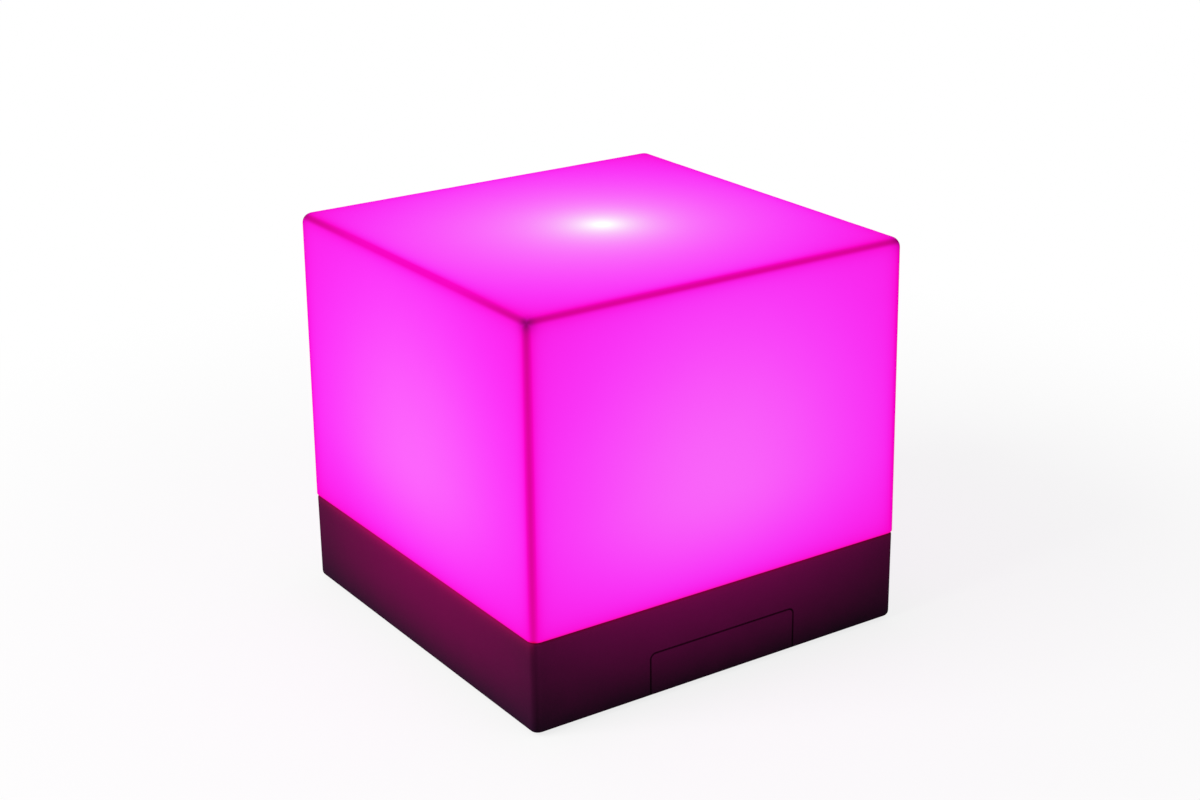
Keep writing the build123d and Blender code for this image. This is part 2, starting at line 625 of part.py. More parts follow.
def battery_box():
    """Trough over the cells, open below, on a flange that covers the door's grooves."""
    z_flange = Z_FLOOR + BOX_FLANGE_THICKNESS
    body = block((-HALF_BOX, HALF_BOX), (Y_BOX_FRONT, Y_BOX_REAR), (Z_FLOOR, Z_BOX))
    body = fillet(body.edges().filter_by(Axis.Y).group_by(Axis.Z)[-1], BOX_EDGE_RADIUS)
    body += block(
        (-HALF_FLANGE, HALF_FLANGE),
        (Y_BOX_FRONT, Y_DOOR_REAR + BOX_FLANGE),
        (Z_FLOOR, z_flange),
    )
    z_ear = (Z_EAR, Z_EAR + BOX_FLANGE_THICKNESS)
    for x, y in EARS:
        inner = HALF_BOX - BOX_WALL / 2
        arm = (inner, x) if x > 0 else (x, -inner)
        body += rod(x, y, *z_ear, EAR_RADIUS)
        body += block(arm, (y - EAR_RADIUS, y + EAR_RADIUS), z_ear)
        body -= rod(x, y, *z_ear, SMALL_SCREW_RADIUS + SCREW_CLEARANCE)
    inside = (Y_FRONT_END, Y_REAR_END)
    length = Y_REAR_END - Y_FRONT_END
    for x in CELL_XS:
        barrel = Rot(90, 0, 0) * Cylinder(TROUGH_RADIUS, length)
        body -= Pos(x, sum(inside) / 2, Z_CELL) * barrel
        body -= block((x - TROUGH_RADIUS, x + TROUGH_RADIUS), inside, (Z_FLOOR, Z_CELL))
    for pocket in (FRONT_POCKET, REAR_POCKET):
        body -= block((-HALF_TROUGHS, HALF_TROUGHS), pocket, (Z_FLOOR, Z_CELL + HALF_PLATE))
    half_tab = TAB_WIDTH / 2 + CELL_CLEARANCE
    for x, pocket in ((CELL_XS[-1], LAST_POCKET), (CELL_XS[0], REAR_POCKET)):
        body -= block((x - half_tab, x + half_tab), pocket, (Z_CELL, Z_BOX))
    return body


def battery_box_screws():
    """Screws through the box's ears."""
    length = SMALL_SCREW_LENGTH + BOX_FLANGE_THICKNESS - CELL_CLEARANCE
    screw = pan_screw(SMALL_SCREW_HEAD, SMALL_SCREW_HEAD_HEIGHT, SMALL_SCREW_RADIUS, length)
    top = Z_EAR + BOX_FLANGE_THICKNESS
    return one_node(Pos(x, y, top) * Rot(180, 0, 0) * screw for x, y in EARS)


def battery_cells():
    """AA cells, every other one turned round."""
    body = CELL_LENGTH - CELL_TERMINAL_HEIGHT
    can = Cylinder(CELL_RADIUS, body, align=ON_FLOOR)
    can = fillet(can.edges().filter_by(GeomType.CIRCLE), CELL_EDGE)
    knob = rod(0, 0, body, CELL_LENGTH, CELL_TERMINAL_RADIUS)
    cell = can + fillet(knob.edges().group_by(Axis.Z)[-1], CELL_TERMINAL_EDGE)
    pieces = []
    for x, faces_front in zip(CELL_XS, FACES_FRONT):
        if faces_front:
            foot = Y_REAR_END - CONTACT_PLATE - CONTACT_SPRING_HEIGHT
            pieces.append(Pos(x, foot, Z_CELL) * Rot(90, 0, 0) * cell)
        else:
            foot = Y_FRONT_END + CONTACT_PLATE + CONTACT_SPRING_HEIGHT
            pieces.append(Pos(x, foot, Z_CELL) * Rot(-90, 0, 0) * cell)
    return one_node(pieces)


def contact_sheet(xs, at_front, with_tab):
    """Plate against one end wall, behind one cell or across two."""
    y0 = Y_FRONT_END if at_front else Y_REAR_END - CONTACT_PLATE
    y = (y0, y0 + CONTACT_PLATE)
    x = (min(xs) - CONTACT_WIDTH / 2, max(xs) + CONTACT_WIDTH / 2)
    plate = block(x, y, (Z_CELL - HALF_PLATE, Z_CELL + HALF_PLATE))
    plate = fillet(plate.edges().filter_by(Axis.Y), CONTACT_CORNER)
    if with_tab:
        tab = (xs[0] - TAB_WIDTH / 2, xs[0] + TAB_WIDTH / 2)
        plate += block(tab, y, (Z_CELL, Z_TAB))
    return plate


def contact_bridges(at_front):
    """Plates that join neighbouring cells at one end of the box."""
    first = 0 if at_front else 1
    starts = range(first, CELL_COUNT - 1, 2)
    return one_node(contact_sheet(CELL_XS[i : i + 2], at_front, False) for i in starts)


def contact_springs():
    """Conical springs behind the flat end of each cell."""
    line = cone_line(
        CONTACT_SPRING_BASE,
        CONTACT_SPRING_TIP,
        CONTACT_SPRING_HEIGHT - 2 * CONTACT_WIRE,
        CONTACT_SPRING_TURNS,
        CONTACT_SPRING_STEPS,
    )
    spring = coil(line, CONTACT_WIRE)
    pieces = []
    for x, faces_front in zip(CELL_XS, FACES_FRONT):
        if faces_front:
            pieces.append(Pos(x, Y_REAR_END - CONTACT_PLATE, Z_CELL) * Rot(90, 0, 0) * spring)
        else:
            pieces.append(Pos(x, Y_FRONT_END + CONTACT_PLATE, Z_CELL) * Rot(-90, 0, 0) * spring)
    return one_node(pieces)


# ---------------------------------------------------------------- lamps


def led_board():
    """Round lamp board on the deck."""
    body = rod(0, 0, Z_DECK_TOP, Z_LED_BOARD, LED_BOARD_RADIUS)
    for x, y in LED_SCREWS:
        body -= rod(x, y, Z_DECK_TOP, Z_LED_BOARD, SMALL_SCREW_RADIUS + SCREW_CLEARANCE)
    return body


def led_emitters():
    """Lamps in a ring, each a square package with a round window."""
    lamp = Box(LED_SIZE, LED_SIZE, LED_HEIGHT, align=ON_FLOOR)
    lamp = chamfer(lamp.edges().filter_by(Axis.Z).sort_by(Axis.X)[-1:], LED_CORNER)
    lamp -= rod(0, 0, LED_HEIGHT - LED_LENS_DEPTH, LED_HEIGHT, LED_LENS_RADIUS)
    ring = PolarLocations(LED_RING_RADIUS, LED_COUNT)
    return one_node(Pos(0, 0, Z_LED_BOARD) * spot * lamp for spot in ring.locations)


def led_board_screws():
    """Screws through the lamp board into the deck."""
    length = SMALL_SCREW_LENGTH
    screw = pan_screw(SMALL_SCREW_HEAD, SMALL_SCREW_HEAD_HEIGHT, SMALL_SCREW_RADIUS, length)
    return one_node(Pos(x, y, Z_LED_BOARD) * Rot(180, 0, 0) * screw for x, y in LED_SCREWS)


# ---------------------------------------------------------------- control board


def on_board(offset):
    """Place on the control board's top, from the board's middle."""
    return Pos(offset[0], BOARD_Y + offset[1], Z_BOARD_TOP)


def control_board():
    """Board that hangs from the deck's small pillars."""
    board = RectangleRounded(BOARD_WIDTH, BOARD_DEPTH, BOARD_CORNER)
    body = Pos(0, BOARD_Y, Z_BOARD) * extrude(board, BOARD_THICKNESS)
    for x, y in BOARD_SCREWS:
        body -= rod(x, y, Z_BOARD, Z_BOARD_TOP, SMALL_SCREW_RADIUS + SCREW_CLEARANCE)
    return body


def control_board_screws():
    """Screws up through the control board."""
    length = SMALL_SCREW_LENGTH
    screw = pan_screw(SMALL_SCREW_HEAD, SMALL_SCREW_HEAD_HEIGHT, SMALL_SCREW_RADIUS, length)
    return one_node(Pos(x, y, Z_BOARD) * screw for x, y in BOARD_SCREWS)


def controller_chip():
    """Small chip with a row of bent legs on each long side."""
    length, width, height = CHIP_SIZE
    body = Box(length, width, height, align=ON_FLOOR)
    body = chamfer(body.edges().group_by(Axis.Z)[-1], CHIP_EDGE)
    for side in (-1, 1):
        for i in range(CHIP_LEGS):
            x = (i - (CHIP_LEGS - 1) / 2) * CHIP_LEG_PITCH
            span = (x - CHIP_LEG_WIDTH / 2, x + CHIP_LEG_WIDTH / 2)
            root = side * (width / 2 - CHIP_LEG_ROOT)
            reach = sorted((root, side * (width / 2 + CHIP_LEG_REACH)))
            body += block(span, reach, (0, CHIP_LEG_HEIGHT))
    return on_board(CHIP_OFFSET) * body


def chip_row(size, count, pitch, offset):
    """Row of small moulded parts along X."""
    piece = Box(*size, align=ON_FLOOR)
    piece = chamfer(piece.edges().group_by(Axis.Z)[-1], SMALL_PART_EDGE)
    return one_node(
        on_board((offset[0] + (i - (count - 1) / 2) * pitch, offset[1])) * piece
        for i in range(count)
    )


def smoothing_capacitor():
    """Round can with a rolled groove near its foot."""
    can = Cylinder(CAPACITOR_RADIUS, CAPACITOR_HEIGHT, align=ON_FLOOR)
    can = fillet(can.edges().group_by(Axis.Z)[-1], CAPACITOR_EDGE)
    groove = Torus(CAPACITOR_RADIUS, CAPACITOR_GROOVE)
    groove = Pos(0, 0, CAPACITOR_GROOVE_HEIGHT) * groove
    return on_board(CAPACITOR_OFFSET) * (can - groove)


def tact_switch_body():
    """Click switch's case with its four legs, bored for the plunger."""
    half = CLICK_BODY / 2
    case = Box(CLICK_BODY, CLICK_BODY, CLICK_BODY_HEIGHT, align=ON_FLOOR)
    case = fillet(case.edges().filter_by(Axis.Z), CLICK_CORNER)
    for side in (-1, 1):
        for x in (-half + CLICK_LEG, half - 2 * CLICK_LEG):
            reach = sorted((side * (half - CLICK_LEG), side * (half + CLICK_LEG_REACH)))
            case += block((x, x + CLICK_LEG), reach, (0, CLICK_LEG_THICKNESS))
    bore = CLICK_PLUNGER_RADIUS + CLICK_PLUNGER_FIT
    case -= rod(0, 0, CLICK_CAVITY, CLICK_BODY_HEIGHT, bore)
    return Pos(0, CLICK_Y, Z_BOARD_TOP) * case


def tact_switch_plunger():
    """Round plunger in the click switch, up to the shade's finger."""
    foot = Z_BOARD_TOP + CLICK_CAVITY + PRESS_TRAVEL
    return rod(0, CLICK_Y, foot, Z_CLICK_TOP, CLICK_PLUNGER_RADIUS)


# ---------------------------------------------------------------- power switch


def power_switch_body():
    """Slide switch: case with two ears, a cavity below for the slider, pins above."""
    half = SWITCH_LENGTH / 2
    width = (-SWITCH_WIDTH / 2, SWITCH_WIDTH / 2)
    case = block((-half, half), width, (Z_FLOOR, Z_SWITCH_TOP))
    z_ear = (Z_SWITCH_EAR, Z_SWITCH_EAR + SWITCH_EAR_THICKNESS)
    reach = half + SWITCH_EAR_LENGTH
    case += block((-reach, reach), width, z_ear)
    for x in (-SWITCH_EAR_X, SWITCH_EAR_X):
        case -= rod(x, 0, *z_ear, SMALL_SCREW_RADIUS + SCREW_CLEARANCE)
    half_cavity = (SLIDER_LENGTH + SWITCH_TRAVEL) / 2 + SWITCH_FIT
    half_width = SLIDER_WIDTH / 2 + SWITCH_FIT
    z_cavity = Z_FLOOR + 2 * SWITCH_FIT + SLIDER_THICKNESS
    case -= block((-half_cavity, half_cavity), (-half_width, half_width), (Z_FLOOR, z_cavity))
    for i in (-1, 0, 1):
        x = i * PIN_PITCH
        pin = (x - PIN_SIZE / 2, x + PIN_SIZE / 2)
        case += block(pin, (-PIN_SIZE / 2, PIN_SIZE / 2), (Z_SWITCH_TOP, Z_PIN))
    return Pos(0, SWITCH_Y, 0) * case


def power_switch_slider():
    """Plate inside the switch with a ribbed knob that reaches into the underside."""
    foot = Z_BASE + KNOB_RECESS
    shoe = Z_FLOOR + SWITCH_FIT
    half, half_width = SLIDER_LENGTH / 2, SLIDER_WIDTH / 2
    plate = block((-half, half), (-half_width, half_width), (shoe, shoe + SLIDER_THICKNESS))
    half_knob = KNOB_LENGTH / 2
    knob = block((-half_knob, half_knob), (-KNOB_WIDTH / 2, KNOB_WIDTH / 2), (foot, shoe))
    for x in (-KNOB_LENGTH / 4, 0, KNOB_LENGTH / 4):
        knob -= Pos(x, 0, foot) * Rot(0, 45, 0) * Box(KNOB_GROOVE, KNOB_WIDTH, KNOB_GROOVE)
    return Pos(-SWITCH_TRAVEL / 2, SWITCH_Y, 0) * (plate + knob)


def power_switch_screws():
    """Screws through the power switch's ears."""
    length = SWITCH_SCREW_LENGTH + SWITCH_EAR_THICKNESS
    screw = pan_screw(SMALL_SCREW_HEAD, SMALL_SCREW_HEAD_HEIGHT, SMALL_SCREW_RADIUS, length)
    top = Z_SWITCH_EAR + SWITCH_EAR_THICKNESS
    return one_node(
        Pos(x, SWITCH_Y, top) * Rot(180, 0, 0) * screw for x in (-SWITCH_EAR_X, SWITCH_EAR_X)
    )


# ---------------------------------------------------------------- wires


def battery_lead_positive():
    """From the rear tab of the first cell down to the switch's first pin."""
    x, pin_x = CELL_XS[0], -PIN_PITCH
    return wire(
        [
            (x, Y_REAR_END, Z_LEAD),
            (x, Y_BOX_REAR + WIRE_RUN, Z_LEAD),
            (pin_x, SWITCH_Y - WIRE_RUN, Z_UNDER_BOARD),
            (pin_x, SWITCH_Y, Z_UNDER_BOARD),
            (pin_x, SWITCH_Y, Z_PIN),
        ]
    )


def battery_lead_negative():
    """From the tab of the last cell, over the box, up to the board's underside."""
    x = CELL_XS[-1]
    board_y = BOARD_Y - BOARD_DEPTH / 2 + BOARD_SCREW_INSET + WIRE_RUN
    start = Y_FRONT_END + CONTACT_PLATE if LAST_TAB_AT_FRONT else Y_REAR_END
    return wire(
        [
            (x, start, Z_LEAD),
            (x, Y_BOX_REAR + WIRE_BEND, Z_LEAD),
            (x, Y_BOX_REAR + WIRE_BEND + WIRE_RUN, Z_DIP),
            (x, board_y, Z_DIP),
            (x, board_y, Z_BOARD),
        ]
    )


def switch_lead():
    """From the switch's middle pin up to the board's underside."""
    return wire(
        [
            (0, SWITCH_Y, Z_PIN),
            (0, SWITCH_Y, Z_UNDER_BOARD),
            (PIN_PITCH, SWITCH_Y + WIRE_RUN, Z_UNDER_BOARD),
            (PIN_PITCH, SWITCH_Y + WIRE_RUN, Z_BOARD),
        ]
    )


def lamp_leads():
    """From the control board up through the deck and over onto the lamp board."""
    top = Z_DECK_TOP + LAMP_WIRE_ARCH
    pads = LED_BOARD_RADIUS - LAMP_WIRE_INSET
    pieces = []
    for i in range(LAMP_WIRE_COUNT):
        x = (i - (LAMP_WIRE_COUNT - 1) / 2) * LAMP_WIRE_PITCH
        points = [(x, LAMP_WIRE_Y, Z_BOARD_TOP), (x, LAMP_WIRE_Y, top)]
        points += [(x, pads, top), (x, pads, Z_LED_BOARD)]
        pieces.append(wire(points))
    return one_node(pieces)


# ---------------------------------------------------------------- every piece by name

PIECES = {
    "diffuser_shade": diffuser_shade,
    "shade_carrier": shade_carrier,
    "carrier_washers": carrier_washers,
    "carrier_screws": carrier_screws,
    "return_springs": return_springs,
    "base_housing": base_housing,
    "reflector_deck": reflector_deck,
    "deck_screws": deck_screws,
    "rubber_feet": rubber_feet,
    "battery_door": battery_door,
    "battery_box": battery_box,
    "battery_box_screws": battery_box_screws,
    "battery_cells": battery_cells,
    "contact_plate_positive": lambda: contact_sheet(CELL_XS[:1], False, True),
    "contact_plate_negative": lambda: contact_sheet(CELL_XS[-1:], LAST_TAB_AT_FRONT, True),
    "contact_bridge_front": lambda: contact_bridges(True),
    "contact_bridge_rear": lambda: contact_bridges(False),
    "contact_springs": contact_springs,
    "led_board": led_board,
    "led_emitters": led_emitters,
    "led_board_screws": led_board_screws,
    "control_board": control_board,
    "control_board_screws": control_board_screws,
    "controller_chip": controller_chip,
    "drive_transistors": lambda: chip_row(
        TRANSISTOR_SIZE, TRANSISTOR_COUNT, TRANSISTOR_PITCH, TRANSISTOR_OFFSET
    ),
    "chip_resistors": lambda: chip_row(
        RESISTOR_SIZE, RESISTOR_COUNT, RESISTOR_PITCH, RESISTOR_OFFSET
    ),
    "smoothing_capacitor": smoothing_capacitor,
    "tact_switch_body": tact_switch_body,
    "tact_switch_plunger": tact_switch_plunger,
    "power_switch_body": power_switch_body,
    "power_switch_slider": power_switch_slider,
    "power_switch_screws": power_switch_screws,
    "battery_lead_positive": battery_lead_positive,
    "battery_lead_negative": battery_lead_negative,
    "switch_lead": switch_lead,
    "lamp_leads": lamp_leads,
}

os.makedirs("parts", exist_ok=True)
for name, make in PIECES.items():
    export_step(make(), f"parts/{name}.step")
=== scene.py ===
"""Looks of the battery-lit cube light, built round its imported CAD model."""

import logging
import math
from dataclasses import dataclass
from enum import Enum
from functools import cached_property, partial, reduce
from typing import Callable, Iterable, Sequence, Union

import bmesh
import bpy
from mathutils import Matrix, Vector


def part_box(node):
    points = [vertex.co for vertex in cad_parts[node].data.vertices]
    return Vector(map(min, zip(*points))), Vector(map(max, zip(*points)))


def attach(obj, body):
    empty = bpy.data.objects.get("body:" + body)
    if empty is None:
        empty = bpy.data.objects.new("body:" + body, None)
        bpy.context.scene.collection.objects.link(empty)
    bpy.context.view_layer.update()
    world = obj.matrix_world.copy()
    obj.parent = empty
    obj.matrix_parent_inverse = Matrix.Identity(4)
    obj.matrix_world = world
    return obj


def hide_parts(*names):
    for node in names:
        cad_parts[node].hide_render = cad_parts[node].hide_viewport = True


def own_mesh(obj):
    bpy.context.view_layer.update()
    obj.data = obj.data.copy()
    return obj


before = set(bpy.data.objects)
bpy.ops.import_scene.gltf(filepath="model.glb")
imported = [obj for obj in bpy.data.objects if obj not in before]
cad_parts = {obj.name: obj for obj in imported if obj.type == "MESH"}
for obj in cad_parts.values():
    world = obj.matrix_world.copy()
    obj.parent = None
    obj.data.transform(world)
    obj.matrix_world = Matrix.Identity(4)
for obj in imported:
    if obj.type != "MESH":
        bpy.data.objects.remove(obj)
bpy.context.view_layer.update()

LOG = logging.getLogger("cube_light")
MM = 0.001

Colour = tuple[float, float, float]
Point = tuple[float, float, float]
Pair = tuple[float, float]
Term = Union[float, Sequence[float], "Field"]
Sockets = dict[Union[str, int], Term]
Shape = bmesh.types.BMesh
Builder = Callable[[Shape], None]

EVEN = (1.0, 1.0, 1.0)
WHITE = (1.0, 1.0, 1.0)
BLACK = (0.0, 0.0, 0.0)


class Body(Enum):
    """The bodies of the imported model."""

    BASE = "base"
    SHADE = "shade"
    DOOR = "door"


class Sign(Enum):
    """Marks moulded beside the cells."""

    PLUS = "plus"
    MINUS = "minus"


# ---- shader nodes


class Graph:
    """The nodes of one material, or of the world."""

    def __init__(self, tree: bpy.types.NodeTree) -> None:
        """Empties a node tree and takes it over."""
        self.tree = tree
        self.tree.nodes.clear()

    def node(self, kind: str, settings: dict[str, object], inputs: Sockets) -> bpy.types.Node:
        """Adds one node.

        Args:
            kind: Blender's name for the type of node.
            settings: its own properties, which are set first.
            inputs: what its sockets take, a link or a plain value.

        Returns:
            The node.
        """
        made = self.tree.nodes.new(kind)
        for key, value in settings.items():
            setattr(made, key, value)
        for key, value in inputs.items():
            self.feed(made.inputs[key], value)
        return made

    def feed(self, socket: bpy.types.NodeSocket, value: Term) -> None:
        """Links a field to a socket, or sets the socket's own value.

        Args:
            socket: the socket that takes it.
            value: a field, a number, a vector or a colour.
        """
        if isinstance(value, Field):
            self.tree.links.new(value.socket, socket)
        elif socket.type == "VECTOR":
            socket.default_value = value if isinstance(value, tuple) else (value,) * 3
        elif socket.type == "RGBA":
            colour = value if isinstance(value, tuple) else (value,) * 3
            socket.default_value = (*colour, 1.0)
        else:
            socket.default_value = value

    @cached_property
    def place(self) -> "Field":
        """The point on the surface, in millimetres in the model's frame."""
        coordinates = self.node("ShaderNodeTexCoord", {}, {})
        return Field(self, coordinates.outputs["Object"]) * (1 / MM)

    @cached_property
    def axes(self) -> "list[Field]":
        """The three numbers of the point on the surface."""
        split = self.node("ShaderNodeSeparateXYZ", {}, {0: self.place})
        return [Field(self, socket) for socket in split.outputs]

    def colour(self, red: Term, green: Term, blue: Term) -> "Field":
        """A colour from its three channels."""
        made = self.node("ShaderNodeCombineColor", {}, {0: red, 1: green, 2: blue})
        return Field(self, made.outputs[0])

    def noise(self, size: float, detail: float = 2.0, stretch: Point = EVEN) -> "Field":
        """Soft random pattern about zero, mostly within half a unit either way.

        Args:
            size: width of its features, in millimetres.
            detail: how many finer layers it has.
            stretch: how much longer the features are along each axis.

        Returns:
            The pattern.
        """
        spot = self.place * tuple(1 / (size * s) for s in stretch)
        inputs = {"Vector": spot, "Scale": 1.0, "Detail": detail}
        return Field(self, self.node("ShaderNodeTexNoise", {}, inputs).outputs[0]) - 0.5

    def bump(self, height: "Field", depth: float) -> "Field":
        """A normal bumped by a relief, whose unit stands for this depth in millimetres."""
        inputs = {"Height": height, "Strength": 1.0, "Distance": depth * MM}
        return Field(self, self.node("ShaderNodeBump", {}, inputs).outputs[0])

    def principled(self, inputs: Sockets) -> None:
        """Ends a material with its shader, fed by these."""
        self.finish(self.node("ShaderNodeBsdfPrincipled", {}, inputs))

    def finish(self, shader: bpy.types.Node, kind: str = "ShaderNodeOutputMaterial") -> None:
        """Links the last shader to an output node of this kind."""
        output = self.node(kind, {}, {})
        self.tree.links.new(shader.outputs[0], output.inputs["Surface"])


class Field:
    """A number, vector or colour that changes over a surface, with Python's operators."""

    def __init__(self, graph: Graph, socket: bpy.types.NodeSocket) -> None:
        """Wraps an output socket of a graph."""
        self.graph = graph
        self.socket = socket

    def _join(self, operation: str, *terms: Term) -> "Field":
        """Adds the node for one operation, a vector one if any term is a vector.

        Args:
            operation: Blender's name for the operation.
            terms: what goes in.

        Returns:
            What comes out.
        """
        wide = any(
            isinstance(term, tuple) or isinstance(term, Field) and term.socket.type != "VALUE"
            for term in terms
        )
        kind = "ShaderNodeVectorMath" if wide else "ShaderNodeMath"
        made = self.graph.node(kind, {"operation": operation}, dict(enumerate(terms)))
        return Field(self.graph, made.outputs[0])

    def __add__(self, other: Term) -> "Field":
        """Sum."""
        return self._join("ADD", self, other)

    __radd__ = __add__

    def __sub__(self, other: Term) -> "Field":
        """Difference."""
        return self._join("SUBTRACT", self, other)

    def __rsub__(self, other: Term) -> "Field":
        """Difference from a plain value."""
        return self._join("SUBTRACT", other, self)

    def __mul__(self, other: Term) -> "Field":
        """Product."""
        return self._join("MULTIPLY", self, other)

    __rmul__ = __mul__

    def __truediv__(self, other: Term) -> "Field":
        """Quotient."""
        return self._join("DIVIDE", self, other)

    def __abs__(self) -> "Field":
        """Size without sign."""
        return self._join("ABSOLUTE", self)

    def exp(self) -> "Field":
        """Natural exponential."""
        return self._join("EXPONENT", self)

    def root(self) -> "Field":
        """Square root."""
        return self._join("SQRT", self)

    def least(self, other: Term) -> "Field":
        """The smaller of the two."""
        return self._join("MINIMUM", self, other)

    def most(self, other: Term) -> "Field":
        """The larger of the two."""
        return self._join("MAXIMUM", self, other)

    def above(self, other: Term) -> "Field":
        """1 where this is the larger of the two, else 0."""
        return self._join("GREATER_THAN", self, other)

    def repeat(self, pitch: float) -> "Field":
        """The remainder within a pitch, never negative."""
        return self._join("FLOORED_MODULO", self, pitch)

    def smooth(self, start: float, end: float) -> "Field":
        """Smooth step from 0 at start to 1 at end, where start may be the larger.

        Args:
            start: where it is 0.
            end: where it is 1.

        Returns:
            The step.
        """
        low, high = min(start, end), max(start, end)
        settings, inputs = {"interpolation_type": "SMOOTHSTEP"}, {0: self, 1: low, 2: high}
        made = self.graph.node("ShaderNodeMapRange", settings, {**inputs, 3: 0.0, 4: 1.0})
        step = Field(self.graph, made.outputs[0])
        return step if start < end else 1.0 - step

    def blend(self, low: Term, high: Term) -> "Field":
        """Mix of two colours, with this as the share of the second."""
        made = self.graph.node("ShaderNodeMix", {"data_type": "RGBA"}, {0: self, 6: low, 7: high})
        return Field(self.graph, made.outputs[2])


def turns(count: int) -> list[float]:
    """Even angles round a circle, in radians."""
    return [2 * math.pi * i / count for i in range(count)]


def distance(terms: Iterable[Field]) -> Field:
    """Length of the vector with these parts."""
    return reduce(Field.__add__, (term * term for term in terms)).root()


def new_graph(name: str) -> tuple[bpy.types.Material, Graph]:
    """Starts a material.

    Args:
        name: the finish's name.

    Returns:
        The material and its graph.
    """
    material = bpy.data.materials.new(name)
    material.use_nodes = True
    return material, Graph(material.node_tree)


# ---- finishes


class Finish:
    """Look of one kind of surface, whose material is made at its first use."""

    name: str

    @cached_property
    def start(self) -> tuple[bpy.types.Material, Graph]:
        """The material, still plain, and its graph."""
        return new_graph(self.name)

    @property
    def graph(self) -> Graph:
        """The material's graph."""
        return self.start[1]

    @cached_property
    def material(self) -> bpy.types.Material:
        """The finished material."""
        self.paint()
        return self.start[0]

    def paint(self) -> None:
        """Builds the material's nodes."""
        raise NotImplementedError


